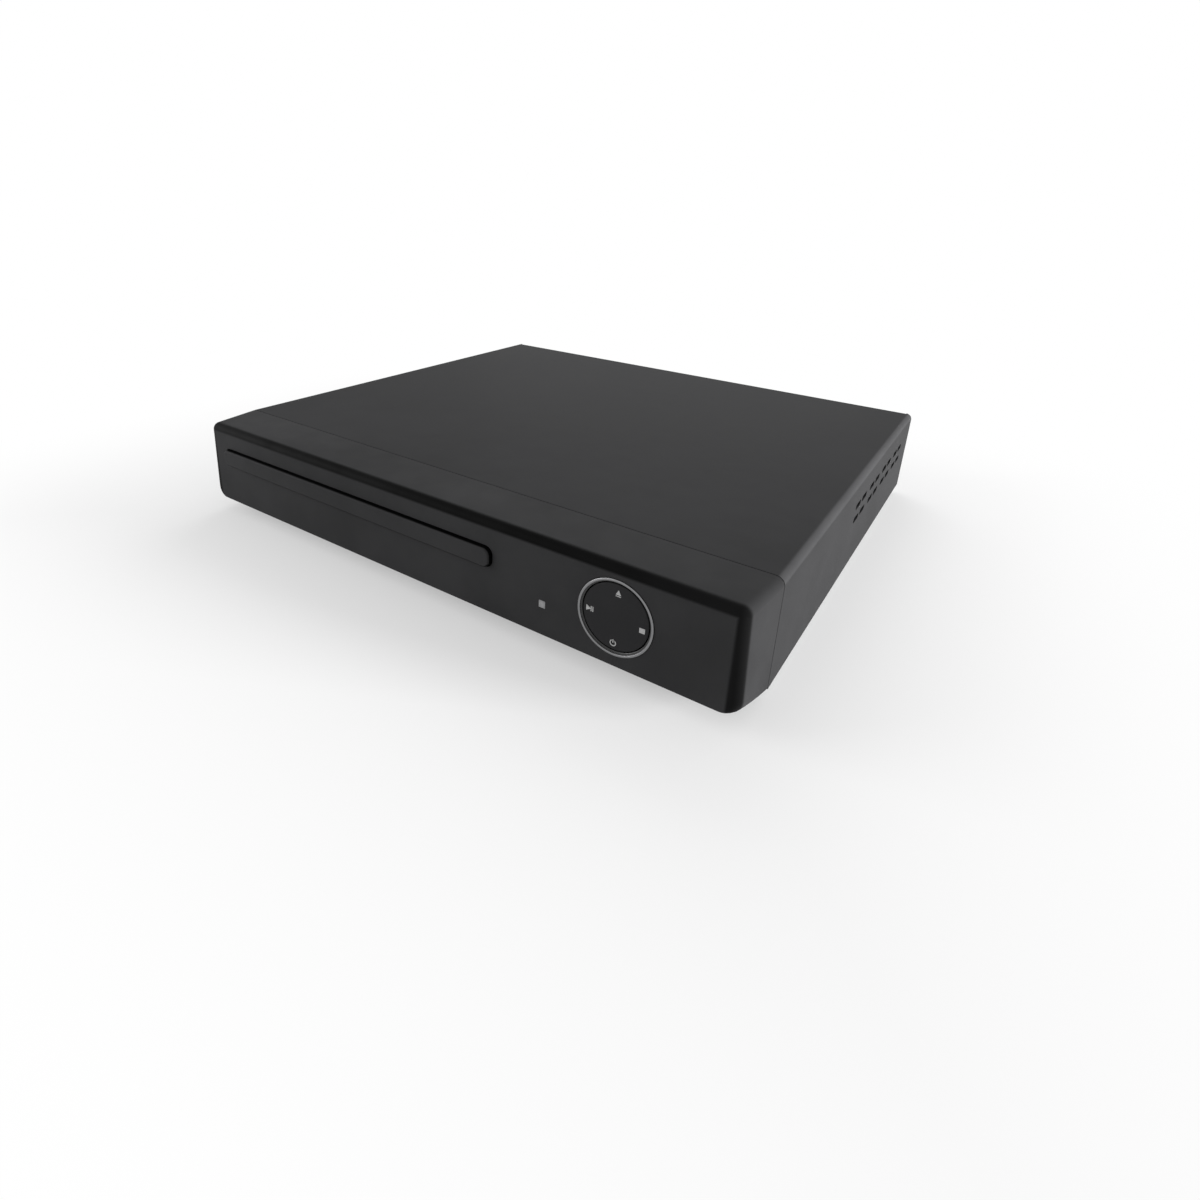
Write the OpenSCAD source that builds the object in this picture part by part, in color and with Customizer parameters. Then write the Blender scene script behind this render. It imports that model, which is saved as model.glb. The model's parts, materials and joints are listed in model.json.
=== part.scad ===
// Tray-loading disc player: case, front controls, loader with its tray, disc drive, boards and jacks.
// Inside the modules X runs from the middle of the case to the right, Y from the bezel's front face to the
// back, and Z from the case's bottom edge up. place() moves that frame onto the model's own origin, which is
// the middle of the base, at the bottom of the feet.

/* [Case] */
// Width of the case
body_w = 225; // [215:1:300]
// Depth of the case, from the bezel's front face to the cover's back edge
body_d = 205; // [200:1:280]
// Height of the case without its feet
body_h = 34.5; // [34:0.5:60]
// Thickness of the cover's sheet metal
cover_t = 0.7; // [0.5:0.1:1.2]
// Outer radius of the cover's bends
bend_r = 2.6; // [1.5:0.1:4]
// Thickness of the chassis and rear panel sheet
chassis_t = 0.8; // [0.6:0.1:1.5]
// Height of the feet
foot_h = 3.5; // [2:0.5:10]
// Diameter of a foot
foot_d = 14; // [8:1:20]
// Distance of a foot's centre from the sides of the case
foot_inset = 22; // [16:1:40]

/* [Bezel] */
// Depth of the bezel, from its front face to the seam with the cover
bezel_d = 20; // [16:1:30]
// Wall thickness of the bezel
bezel_wall = 2.2; // [1.6:0.1:3]
// How far each side draws in from the seam to the front
side_taper = 2.4; // [0:0.1:4]
// How far the top drops from the seam to the front
top_drop = 0.6; // [0:0.1:2]
// How far the bottom rises from the seam to the front
bottom_rise = 2.8; // [0:0.1:4]
// Radius of the rounding between the front face and its neighbours
front_round = 2.6; // [1:0.1:4]

/* [Tray] */
// Sideways place of the tray's middle
tray_x = -34.3; // [-60:0.1:-30]
// Diameter of the disc that the tray holds
disc_d = 120; // [118:1:121]
// Width of the tray
tray_w = 130; // [128:0.5:131]
// Length of the tray
tray_l = 164; // [150:1:168]
// How far the tray comes out
tray_travel = 140; // [100:1:142]
// Width of the tray door
door_w = 133.6; // [132:0.1:136]
// Height of the tray door
door_h = 6.2; // [6:0.1:9]
// Height of the door's middle above the case's bottom edge
door_z = 21.9; // [21.5:0.1:24]
// How far the door stands in front of the bezel
door_proud = 1.6; // [0.5:0.1:3]
// Gap round the door
door_gap = 0.5; // [0.3:0.1:1]

/* [Controls] */
// Sideways place of the ring's middle
ring_x = 75; // [60:0.5:90]
// Height of the ring's middle
ring_z = 18.2; // [17:0.1:22]
// Outer diameter of the ring
ring_d = 23.4; // [19.5:0.1:26]
// Width of the ring's face
ring_w = 1.2; // [0.8:0.1:2]
// Greatest tilt of the pad each way, in degrees
pad_tilt = 2; // [1:0.1:2.2]
// Sideways place of the status window
window_x = 51.2; // [45:0.1:55]
// Height of the status window
window_z = 13.2; // [10:0.1:20]
// Side of the square status window
window_s = 2.6; // [2:0.1:5]

/* [Loader] */
// Distance of the disc's middle from the bezel's front
spindle_y = 66; // [64:0.5:70]
// Width of the loader frame
loader_w = 140; // [138:1:146]
// Back end of the loader frame
loader_end = 166; // [166:1:170]
// How far the turntable drops to free the disc
lift_drop = 6.3; // [5:0.1:6.4]
// Distance of the lift frame's pivot from the bezel's front
pivot_y = 150; // [148:1:152]
// Height of the lift frame's pivot
pivot_z = 10.4; // [10:0.1:11]
// Sideways travel of the cam slider
cam_travel = 20; // [16:1:20]
// Distance between the guide rods
rod_span = 40; // [38:0.5:42]
// Diameter of a guide rod
rod_d = 3; // [2:0.1:3.2]
// Travel of the pickup sled
sled_travel = 35; // [25:1:36]

/* [Rear] */
// Outer diameter of a jack's barrel
jack_d = 8.3; // [8:0.1:8.6]
// How far a jack's barrel stands out of the back
jack_out = 8.4; // [6:0.1:10]
// Distance between neighbouring jacks
jack_pitch = 14; // [13:0.5:16]
// Distance of the mains inlet's middle from the right side of the case
inlet_inset = 15; // [14:0.5:20]

/* [Fits] */
// Radial gap of a shaft that turns in a bore
running_gap = 0.05; // [0.03:0.01:0.1]
// Gap between pieces that slide past each other
slide_gap = 0.3; // [0.2:0.05:0.5]
// Gap between a fixed piece and the hole or pocket that it sits in
seat_gap = 0.1; // [0.05:0.05:0.3]

/* [Hidden] */
$fn = 48;
eps = 0.01;
// How far a cut runs past the face it opens
past = 1;
quarters = [0, 90, 180, 270];
half_w = body_w / 2;
front_y = -(body_d + jack_out - door_proud) / 2;
inner_x = half_w - cover_t;
floor_z = chassis_t;
panel_y = body_d - cover_t - chassis_t;
door_bottom = door_z - door_h / 2;
door_top = door_z + door_h / 2;

// Heights inside the loader, from the chassis up
boss_top = 5;
deck_z = 7.2;
deck_t = 2;
deck_top = deck_z + deck_t;
gear_z = 11;
gear_h = 3;
pulley_z = 14.8;
pulley_h = 3;
rail_top = door_bottom;
tray_bottom = door_bottom + slide_gap;
tray_top = door_top - slide_gap;
tray_floor = tray_bottom + 2;
recess_z = tray_top - 1.8;
inner_recess_z = recess_z - 0.8;
bridge_z = tray_top + 1.8;
bridge_t = 1.8;

// The tray and what turns it
loader_half = loader_w / 2;
loader_wall = 3;
loader_front = 4.5;
tray_front = door_gap + 0.9;
tray_back = tray_front + tray_l;
recess_r = disc_d / 2 + 0.5;
small_recess_r = 40.5;
finger_r = 9;
slot_half = 20;
slot_l = 44;
tray_wall = 2.2;
gear_y = 23.5;
tray_gear_x = 33;
tray_mod = 1;
tray_teeth = 18;
rack_x = tray_gear_x + tray_mod * tray_teeth / 2;
rack_back = 46;
rack_front = -9.5;
rack_spare = 1.7;
train_mod = 0.8;
wheel_teeth = 38;
pinion_teeth = 12;
pulley_gear_x = tray_gear_x - train_mod * (wheel_teeth + pinion_teeth) / 2;
motor_x = -22;
belt_r = 8.5;
belt_t = 1;
motor_belt_r = 2.3;
gear_pin_r = 1.5;
motor_r = 10;
motor_bottom = 4;
motor_top = 13;
backlash = 0.08;

// The cam slider
cam_y = 40.5;
cam_t = 2.5;
cam_mid = cam_y + cam_t / 2;
cam_left = -28;
cam_right = 58;
cam_bottom = 1.3;
cam_top = 16;
cam_pins = [-20, 25];
cam_pin_r = 1.5;
cam_pin_z = 12.4;
track_x = -26;
track_pin_r = 1.4;
track_wall = 1.6;

// The drive that the lift frame carries, given as it lies when lifted
lift_angle = asin(lift_drop / (pivot_y - spindle_y));
lift_left = -36;
lift_right = 48;
lift_front = 46;
lift_back = 154;
lift_z = 9.4;
lift_t = 2;
lift_top = lift_z + lift_t;
pivot_r = 2;
traverse_z = 12.6;
traverse_t = 1;
traverse_top = traverse_z + traverse_t;
traverse_front = 49;
traverse_back = 146;
damper_r = 3.2;
damper_neck_r = 2;
damper_top = traverse_top + 1.6;
damper_places = [for (x = [lift_left + 3.2, lift_right - 3.2], y = [54, 142]) [x, y]];
rod_z = 16.5;
rod_front = 56;
rod_back = 136;
rod_r = rod_d / 2;
holder_l = 3;
seat_z = tray_top - 0.3;
turntable_t = 2;
cone_h = 2.2;
cone_r = 7.4;
rotor_r = 12.5;
lens_start = 23;
sled_y = spindle_y + lens_start;
sled_half = 9;
sled_mod = 0.6;
sled_teeth = 14;
sled_wheel_teeth = 30;
sled_pinion_teeth = 10;
sled_gear_x = 32.5;
sled_gear_y = 96;
sled_rack_x = sled_gear_x - sled_mod * sled_teeth / 2;
sled_motor_y = sled_gear_y + sled_mod * (sled_wheel_teeth + sled_pinion_teeth) / 2;
sled_gear_z = 13.9;
sled_gear_h = 1.6;
sled_gear_pin_r = 1.2;
sled_top = 20.2;

// Screws: the common size, and the small size of the clamp bridge and the dampers
screw_r = 1.25;
screw_head_r = 2.8;
screw_head_h = 1.8;
screw_hole_r = 1.6;
small_screw_r = 0.9;
small_head_h = 1;
bridge_head_r = 1.45;
damper_head_r = 2.2;

// The clamp over the disc
puck_flange_r = 16;
puck_r = 11.8;
puck_bottom = seat_z + 1.2;
puck_flange_z = bridge_z + bridge_t + slide_gap;
puck_top = puck_flange_z + 1.6;

// Boards
board_t = 1.6;
board_z = boss_top;
board_top = board_z + board_t;
loader_right = tray_x + loader_half;
power_left = loader_right + 6;
power_right = half_w - 4.8;
power_front = 25;
power_back = 104;
main_left = loader_right - 66;
main_right = power_left + 48;
main_front = 114;
main_back = panel_y - 2.5;
main_strip = loader_end + 5;
jack_z = board_top + 7.5;
inlet_x = half_w - inlet_inset;
inlet_z = 14;
inlet_depth = 16;
av_x = main_right - 46;
coax_x = av_x - 22;
hdmi_x = coax_x - 24;
front_board_y = 10.9;
front_board_left = loader_right + 3.5;
front_board_right = ring_x + 31;

// ---------- helpers ----------

// Puts a piece that is drawn from the bezel's front and the case's bottom edge into the model's frame.
module place() {
    translate([0, front_y, foot_h]) children();
}

// The same for the loader's pieces, drawn from the tray's middle.
module in_loader() {
    place() translate([tray_x, 0, 0]) children();
}

// The same for what the lift frame carries, turned down about its pivot as it rests.
module on_lift() {
    in_loader() translate([0, pivot_y, pivot_z]) rotate([lift_angle, 0, 0])
        translate([0, -pivot_y, -pivot_z]) children();
}

// A block between two corners.
module block(low, high) {
    translate(low) cube(high - low);
}

// An outline in X and Z, drawn out along Y.
module along_y(start, length) {
    translate([0, start + length, 0]) rotate([90, 0, 0]) linear_extrude(length) children();
}

// An upright cylinder at a place, between two heights.
module post(x, y, z0, z1, r) {
    translate([x, y, z0]) cylinder(h = z1 - z0, r = r);
}

// A cylinder along X.
module rod_x(x0, x1, y, z, r) {
    translate([x0, y, z]) rotate([0, 90, 0]) cylinder(h = x1 - x0, r = r);
}

// A cylinder along Y.
module rod_y(x, y0, y1, z, r) {
    translate([x, y1, z]) rotate([90, 0, 0]) cylinder(h = y1 - y0, r = r);
}

// A rectangle with round corners.
module rounded(x0, y0, x1, y1, r) {
    translate([x0 + r, y0]) square([x1 - x0 - 2 * r, y1 - y0]);
    translate([x0, y0 + r]) square([x1 - x0, y1 - y0 - 2 * r]);
    for (x = [x0 + r, x1 - r], y = [y0 + r, y1 - r]) translate([x, y]) circle(r);
}

// A slot with round ends, between two points.
module slot_2d(a, b, r) {
    turn = atan2(b[1] - a[1], b[0] - a[0]);
    translate(a) circle(r);
    translate(b) circle(r);
    translate(a) rotate(turn) translate([0, -r]) square([norm(b - a), 2 * r]);
}

// A pan-head screw that points down, with its head's underside at z = 0.
module screw(shank_r, length, head_r, head_h) {
    difference() {
        union() {
            cylinder(h = head_h, r = head_r);
            translate([0, 0, -length]) cylinder(h = length + eps, r = shank_r);
        }
        for (turn = [0, 90]) rotate(turn) translate([-head_r * 0.6, -head_r * 0.12, head_h * 0.45])
            cube([head_r * 1.2, head_r * 0.24, head_h]);
    }
}

// ---------- gear teeth ----------

pressure = 20;
addendum = 0.85;
dedendum = 1.2;

function involute(angle) = tan(angle) * 180 / PI - angle;

// Half the angle that a tooth takes up at radius r.
function half_tooth(r, pitch_r, teeth, thin) =
    let (base_r = pitch_r * cos(pressure))
    90 / teeth - thin / pitch_r * 180 / PI + involute(pressure) - involute(r > base_r ? acos(base_r / r) : 0);

function at_angle(r, angle) = [r * cos(angle), r * sin(angle)];

// Outline of a spur gear with a tooth pointing along +X.
module spur(teeth, mod) {
    pitch_r = teeth * mod / 2;
    base_r = pitch_r * cos(pressure);
    root_r = pitch_r - dedendum * mod;
    tip_r = pitch_r + addendum * mod;
    low_r = max(base_r, root_r + eps);
    radii = concat([root_r], [for (i = [0:4]) low_r + (tip_r - low_r) * i / 4]);
    last = len(radii) - 1;
    polygon([for (t = [0:teeth - 1], side = [-1, 1], i = [0:last])
        let (r = radii[side < 0 ? i : last - i])
        at_angle(r, 360 * t / teeth + side * half_tooth(r, pitch_r, teeth, backlash))]);
}

// Outline of a rack whose teeth point along -X from the pitch line x = 0, with a gap centred at y = 0.
module rack(mod, from, to, back) {
    step = PI * mod;
    half = step / 4 - backlash;
    rise = addendum * mod * tan(pressure);
    fall = dedendum * mod * tan(pressure);
    first = ceil(from / step);
    last = floor(to / step) - 1;
    teeth = [for (i = [first:last]) let (y = (i + 0.5) * step) [
        [dedendum * mod, y - half - fall], [-addendum * mod, y - half + rise],
        [-addendum * mod, y + half - rise], [dedendum * mod, y + half + fall]]];
    polygon(concat([[back, from], [dedendum * mod, from]], [for (tooth = teeth, p = tooth) p],
        [[dedendum * mod, to], [back, to]]));
}

// ---------- bent leads ----------

// A point on the smooth curve through a list of points.
function curve_at(p, i, t) =
    let (a = p[max(i - 1, 0)], b = p[i], c = p[i + 1], d = p[min(i + 2, len(p) - 1)])
    0.5 * (2 * b + (c - a) * t + (2 * a - 5 * b + 4 * c - d) * t * t + (3 * b - a - 3 * c + d) * t * t * t);

function smooth(p, steps) =
    concat([for (i = [0:len(p) - 2], s = [0:steps - 1]) curve_at(p, i, s / steps)], [p[len(p) - 1]]);

function unit(d) = d / norm(d);

// Direction of the curve p at point i; at its two ends it is that of the route it was drawn through.
function direction(p, i, route) =
    i == 0 ? unit(route[1] - route[0]) :
    i == len(p) - 1 ? unit(route[len(route) - 1] - route[len(route) - 2]) :
    unit(p[i + 1] - p[i - 1]);

// A lead that follows a flat route; across is the direction square to the route's plane.
module lead(route, across, section, steps = 5) {
    p = smooth(route, steps);
    n = len(section);
    last = len(p) - 1;
    rings = [for (i = [0:last]) let (up = cross(direction(p, i, route), across))
        for (s = section) p[i] + s[0] * across + s[1] * up];
    sides = [for (i = [0:last - 1], k = [0:n - 1]) let (a = i * n + k, b = i * n + (k + 1) % n)
        [a, b, b + n, a + n]];
    ends = [[for (k = [n - 1:-1:0]) k], [for (k = [0:n - 1]) last * n + k]];
    polyhedron(points = rings, faces = concat(sides, ends), convexity = 4);
}

function round_section(r) = [for (k = [0:7]) at_angle(r, 45 * k)];
function flat_section(w, t) = [[w / 2, t / 2], [-w / 2, t / 2], [-w / 2, -t / 2], [w / 2, -t / 2]];

// ---------- case ----------

// One upright slice of the bezel, drawn in from the case's outline.
module bezel_slice(y, side, top, bottom, r) {
    along_y(y, eps) rounded(-half_w + side, bottom, half_w - side, body_h - top, r);
}

// The bezel's outer shape, or its inside when inset by the wall.
module bezel_form(inset, back, corner_r) {
    steps = 5;
    edge_r = max(front_round - inset, 0.4);
    hull() {
        bezel_slice(back, inset, inset, inset, corner_r);
        for (i = [0:steps]) {
            angle = 90 * i / steps;
            run = (1 - sin(angle)) * edge_r;
            draw = (1 - cos(angle)) * edge_r;
            bezel_slice(inset + run, side_taper + inset + draw, top_drop + inset + draw * 0.8,
                bottom_rise + inset + draw, corner_r);
        }
    }
}

module door_outline(gap) {
    rounded(tray_x - door_w / 2 - gap, door_bottom - gap, tray_x + door_w / 2 + gap, door_top + gap,
        door_h * 0.36 + gap);
}

// Places of the screws that hold the front board.
board_posts = [[front_board_left + 4, 27], [front_board_right - 4, 29], [front_board_right - 4, 7.5],
    [front_board_left + 4, 7.5]];
ring_r = ring_d / 2;
ring_proud = 0.3;
ring_edge = 0.2;
ring_flange_r = ring_r + 1.2;
ring_flange_t = 0.8;
pad_r = ring_r - ring_w - slide_gap;
pad_t = 2.3;
pad_rim = 0.6;
pad_crown = 0.2;
gimbal_y = 4.9;
gimbal_half = 1.2;
gimbal_r = ring_r - 0.7;
gimbal_in = gimbal_r - 2.6;
pin_r = 0.6;
gimbal_post_x = ring_flange_r + slide_gap;
gimbal_post_t = 2.4;
gimbal_post_half = 2;
gimbal_pin_end = 0.4;
gimbal_mid = gimbal_post_x + gimbal_post_t / 2;
window_hole = window_s / 2 + seat_gap;
nub_at = gimbal_in - 1.8;
nub_r = 1.3;
nub_back = gimbal_y + 1.7;
board_post_r = 2.4;
tongue_l = 4;
tongue_wall = 1.2;
tongue_low = 6;
clip_xs = [-80, 0, 80];
clip_half = 8;
clip_t = 1.6;
clip_start = bezel_d - 5;
clip_end = bezel_d + 6;

// Step inside the seam, which the cover slides over.
module bezel_tongue() {
    in = cover_t + seat_gap;
    r = bend_r - cover_t;
    along_y(bezel_d - 2, 2 + tongue_l) difference() {
        rounded(-half_w + in, 0, half_w - in, body_h - in, r);
        rounded(-half_w + in + tongue_wall, -tongue_low, half_w - in - tongue_wall,
            body_h - in - tongue_wall, r);
        translate([-half_w, -past]) square([body_w, tongue_low + past]);
    }
}

module gimbal_posts() {
    for (s = [-1, 1]) translate([ring_x + s * gimbal_mid, 0, ring_z])
        block([-gimbal_post_t / 2, bezel_wall - eps, -gimbal_post_half],
            [gimbal_post_t / 2, gimbal_y + 1.6, gimbal_post_half]);
}

module front_bezel() {
    color("#1b1b1d") place() difference() {
        union() {
            difference() {
                bezel_form(0, bezel_d - eps, 1.8);
                bezel_form(bezel_wall, bezel_d + 1, 1.2);
            }
            bezel_tongue();
            gimbal_posts();
            for (p = board_posts) rod_y(p[0], bezel_wall - eps, front_board_y, p[1], board_post_r);
            for (x = clip_xs)
                block([x - clip_half, clip_start, floor_z], [x + clip_half, clip_end, floor_z + clip_t]);
        }
        along_y(-past, bezel_wall + 2 * past) door_outline(door_gap);
        rod_y(ring_x, -past, bezel_wall + past, ring_z, ring_r + seat_gap);
        translate([window_x, 0, window_z]) block([-window_hole, -past, -window_hole],
            [window_hole, bezel_wall + past, window_hole]);
        for (p = board_posts)
            rod_y(p[0], bezel_wall + 2, front_board_y + past, p[1], screw_r + running_gap);
        for (x = [ring_x - gimbal_mid, ring_x + gimbal_mid])
            rod_x(x - gimbal_post_t, x + gimbal_post_t, gimbal_y, ring_z, pin_r + running_gap);
    }
}

module control_ring() {
    inner = ring_r - ring_w;
    back = bezel_wall + ring_flange_t + seat_gap;
    color("silver") place() translate([ring_x, 0, ring_z]) rotate([-90, 0, 0]) rotate_extrude($fn = 96)
        polygon([[inner, -ring_proud + ring_edge], [inner + ring_edge, -ring_proud],
            [ring_r - ring_edge, -ring_proud], [ring_r, -ring_proud + ring_edge],
            [ring_r, bezel_wall + seat_gap],
            [ring_flange_r, bezel_wall + seat_gap], [ring_flange_r, back], [inner, back]]);
}

module control_pad() {
    pin_end = gimbal_r - 0.6;
    color("#202022") place() translate([ring_x, 0, ring_z]) {
        rotate([-90, 0, 0]) rotate_extrude($fn = 96) polygon([[0, 0], [pad_r - 3, pad_crown / 4],
            [pad_r - 0.4, pad_crown], [pad_r, pad_rim], [pad_r, pad_t], [0, pad_t]]);
        for (a = quarters) rotate([0, a, 0]) rod_y(nub_at, pad_t - pad_crown, nub_back, 0, nub_r);
        for (s = [-1, 1]) translate([0, gimbal_y, s * (nub_at + pin_end) / 2])
            cylinder(h = pin_end - nub_at, r = pin_r, center = true);
    }
}

module pad_gimbal() {
    pin_start = gimbal_in + 1;
    pin_end = gimbal_post_x + gimbal_post_t - gimbal_pin_end;
    color("dimgray") place() translate([ring_x, gimbal_y, ring_z]) difference() {
        union() {
            rotate([90, 0, 0]) difference() {
                cylinder(h = 2 * gimbal_half, r = gimbal_r, center = true);
                cylinder(h = 3 * gimbal_half, r = gimbal_in, center = true);
            }
            for (s = [-1, 1]) translate([s * (pin_start + pin_end) / 2, 0, 0])
                rotate([0, 90, 0]) cylinder(h = pin_end - pin_start, r = pin_r, center = true);
        }
        cylinder(h = 3 * gimbal_r, r = pin_r + running_gap, center = true);
    }
}

module status_window() {
    half = window_s / 2;
    wide = half + 2.5;
    tall = half + 1.2;
    back = bezel_wall + seat_gap;
    color("lightgray") place() translate([window_x, 0, window_z]) {
        block([-half, 0.05, -half], [half, back + eps, half]);
        block([-wide, back, -tall], [wide, back + 1, tall]);
    }
}

// ---------- front board ----------

switch_h = 3.5;
switch_half = 2.3;
// Gap under the pad's nubs, so that both tilts together leave the switches clear
switch_gap = (nub_at + 2 * nub_r) * sin(pad_tilt);
front_board_low = 4.5;
front_board_top = 31;
board_back_y = front_board_y + board_t;
header_l = 4;
front_header_x = front_board_left + 12;

module front_board() {
    color("darkgreen") place() difference() {
        block([front_board_left, front_board_y, front_board_low],
            [front_board_right, board_back_y, front_board_top]);
        for (p = board_posts) rod_y(p[0], front_board_y - past, board_back_y + past, p[1], screw_hole_r);
    }
}

module push_switches() {
    front = front_board_y - switch_h;
    color("gray") place() for (a = quarters) translate([ring_x, 0, ring_z]) rotate([0, a, 0])
        translate([nub_at, 0, 0]) {
            block([-switch_half, front, -switch_half], [switch_half, front_board_y, switch_half]);
            rod_y(0, nub_back + switch_gap, front + eps, 0, nub_r - 0.1);
        }
}

module ir_receiver() {
    color("#2a1c1c") place() translate([window_x + 1.6, 0, window_z]) {
        block([-2, front_board_y - 4, -2.8], [2, front_board_y, 2.8]);
        intersection() {
            rod_y(0, front_board_y - 6, front_board_y - 3.9, 0, 1.8);
            translate([0, front_board_y - 4.2, 0]) sphere(r = 1.9);
        }
    }
}

module status_led() {
    color("red") place() translate([window_x - 2.2, 0, window_z]) {
        rod_y(0, front_board_y - 5, front_board_y, 0, 1);
        translate([0, front_board_y - 5, 0]) sphere(r = 1);
    }
}

// Flat cable along the loader's side, from the front board to the main board.
ribbon_x = loader_right + 3;
ribbon_z = 17.5;
main_header_y = main_front + 3;

module front_ribbon() {
    start_y = board_back_y + header_l;
    end_y = main_header_y;
    color("lightgray") place() lead([[front_header_x, start_y, ribbon_z],
        [front_header_x, start_y + 2, ribbon_z], [ribbon_x + 1, start_y + 6, ribbon_z],
        [ribbon_x, start_y + 12, ribbon_z],
        [ribbon_x, end_y - 14, ribbon_z - 4], [ribbon_x + 1, end_y - 8, ribbon_z - 4],
        [power_left + 4, end_y - 2, ribbon_z - 4], [power_left + 4, end_y, ribbon_z - 4]],
        [0, 0, 1], flat_section(9, 0.5));
}

// ---------- case metal ----------

seam_gap = 0.3;
lip_h = 8;
lip_y = body_d - cover_t;
vent_rows = [18.7, 24];
vent_h = 2.2;
vent_l = 7.6;
vent_step = 9.4;
vent_groups = 4;
vent_pitch = 22.5;
vent_back = body_d - 17;
screw_post_r = 3.2;
flange_h = 9;
floor_slots = 7;
floor_slot_pitch = 8;
floor_slot_r = 1.5;
case_screw_xs = [-80, 0, 80];
case_screw_z = body_h - 4.2;
low_screw_x = half_w - 10.5;
low_screw_z = 4;

// Outline of the folded cover, from its bottom edge over the top, drawn in by inset.
module cover_outline(inset, low) {
    r = bend_r - inset;
    x = half_w - inset;
    top = body_h - inset;
    translate([-x, low]) square([2 * x, top - r - low]);
    translate([-x + r, low]) square([2 * (x - r), top - low]);
    for (s = [-1, 1]) translate([s * (x - r), top - r]) circle(r);
}

// An outline in Y and Z, drawn out along X.
module along_x(start, length) {
    translate([start, 0, 0]) rotate([90, 0, 90]) linear_extrude(length) children();
}

module side_vents() {
    for (s = [-1, 1]) along_x(s * half_w - 3, 6)
        for (z = vent_rows, g = [0:vent_groups - 1], i = [1, 2]) {
            y = vent_back - g * vent_pitch - (i - 1) * vent_step;
            slot_2d([y - vent_l + vent_h / 2, z], [y - vent_h / 2, z], vent_h / 2);
        }
}

module top_cover() {
    color("#2b2b2d") place() difference() {
        union() {
            along_y(bezel_d + seam_gap, body_d - bezel_d - seam_gap) difference() {
                cover_outline(0, 0);
                cover_outline(cover_t, -1);
            }
            along_y(lip_y, cover_t) intersection() {
                cover_outline(0, 0);
                translate([-half_w, body_h - lip_h]) square([body_w, lip_h]);
            }
        }
        side_vents();
        for (x = case_screw_xs) rod_y(x, lip_y - 1, body_d + 1, case_screw_z, screw_hole_r);
    }
}

loader_screw_places = [for (x = [-60, 60], y = [50, 158]) [x, y]];
power_posts = [for (x = [power_left + 4, power_right - 4], y = [power_front + 4, power_back - 14]) [x, y]];
main_posts = [[power_left + 6, main_front + 16], [main_right - 4, main_front + 12],
    [main_right - 4, main_back - 22], [main_left + 46, main_strip + 5], [main_left + 5, main_back - 5]];
board_posts_down = concat(power_posts, main_posts);
floor_posts = concat(board_posts_down, [for (p = loader_screw_places) [tray_x + p[0], p[1]]]);
foot_places = [for (x = [-half_w + foot_inset, half_w - foot_inset], y = [36, body_d - 22]) [x, y]];

module bottom_chassis() {
    edge = inner_x - seat_gap;
    front = bezel_d + seam_gap;
    color("#8d9094") place() difference() {
        union() {
            block([-edge, front, 0], [edge, panel_y + chassis_t, floor_z]);
            for (s = [-1, 1]) translate([s * (edge - chassis_t / 2), 0, 0])
                block([-chassis_t / 2, bezel_d + tongue_l + 1, 0], [chassis_t / 2, panel_y - 2, flange_h]);
            block([-edge + 2, panel_y - chassis_t, 0], [edge - 2, panel_y, board_top - 0.2]);
            for (p = floor_posts) post(p[0], p[1], 0, boss_top, screw_post_r);
        }
        for (p = floor_posts) post(p[0], p[1], -past, boss_top + past, screw_r + running_gap);
        for (s = [-1, 1])
            rod_y(s * low_screw_x, panel_y - 3, panel_y + 3, low_screw_z, screw_r + running_gap);
        for (i = [0:floor_slots - 1]) translate([0, power_front + 14 + i * floor_slot_pitch, -past])
            linear_extrude(3) slot_2d([power_left + 14, 0], [power_right - 14, 0], floor_slot_r);
    }
}

module jack_places() {
    for (x = [coax_x, av_x, av_x + jack_pitch, av_x + 2 * jack_pitch]) translate([x, 0, jack_z]) children();
}

jack_flange_r = 5.6;
jack_core_r = 3.5;
jack_bore_r = 1.75;
jack_flange_y = panel_y + chassis_t + 0.8;
jack_block_half = 6.4;
jack_block_h = 13.4;
jack_block_front = main_back - 11;
hdmi_hole = [8, 6.2];
rear_slots = 9;
rear_slot_pitch = 6;
rear_slot_z = [12, 24];
rear_slot_r = 1.2;
inlet_w = 20;
inlet_h = 11;
inlet_pin_x = 4.3;
inlet_pin_r = 1.2;
inlet_cavity = 12;
inlet_lip = 1.5;
inlet_flange_y = panel_y + chassis_t + 1.4;

module rear_panel() {
    before = panel_y - past;
    behind = panel_y + chassis_t + past;
    color("#8d9094") place() difference() {
        along_y(panel_y, chassis_t) cover_outline(cover_t + slide_gap, floor_z);
        jack_places() rod_y(0, before, behind, 0, jack_flange_r + seat_gap);
        block([hdmi_x - hdmi_hole[0], before, board_top - 0.4],
            [hdmi_x + hdmi_hole[0], behind, board_top + hdmi_hole[1]]);
        block([inlet_x - inlet_w / 2 - seat_gap, before, inlet_z - inlet_h / 2 - seat_gap],
            [inlet_x + inlet_w / 2 + seat_gap, behind, inlet_z + inlet_h / 2 + seat_gap]);
        for (x = case_screw_xs) rod_y(x, before, behind, case_screw_z, screw_r + running_gap);
        for (s = [-1, 1]) rod_y(s * low_screw_x, before, behind, low_screw_z, screw_hole_r);
        along_y(before, behind - before) for (i = [0:rear_slots - 1])
            translate([-half_w + 18 + i * rear_slot_pitch, 0])
                slot_2d([0, rear_slot_z[0]], [0, rear_slot_z[1]], rear_slot_r);
    }
}

module feet() {
    r = foot_d / 2;
    color("black") place() for (p = foot_places) translate([p[0], p[1], -foot_h]) rotate_extrude()
        polygon([[0, 0], [r - 1, 0], [r - 0.4, 0.5], [r, foot_h], [0, foot_h]]);
}

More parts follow.
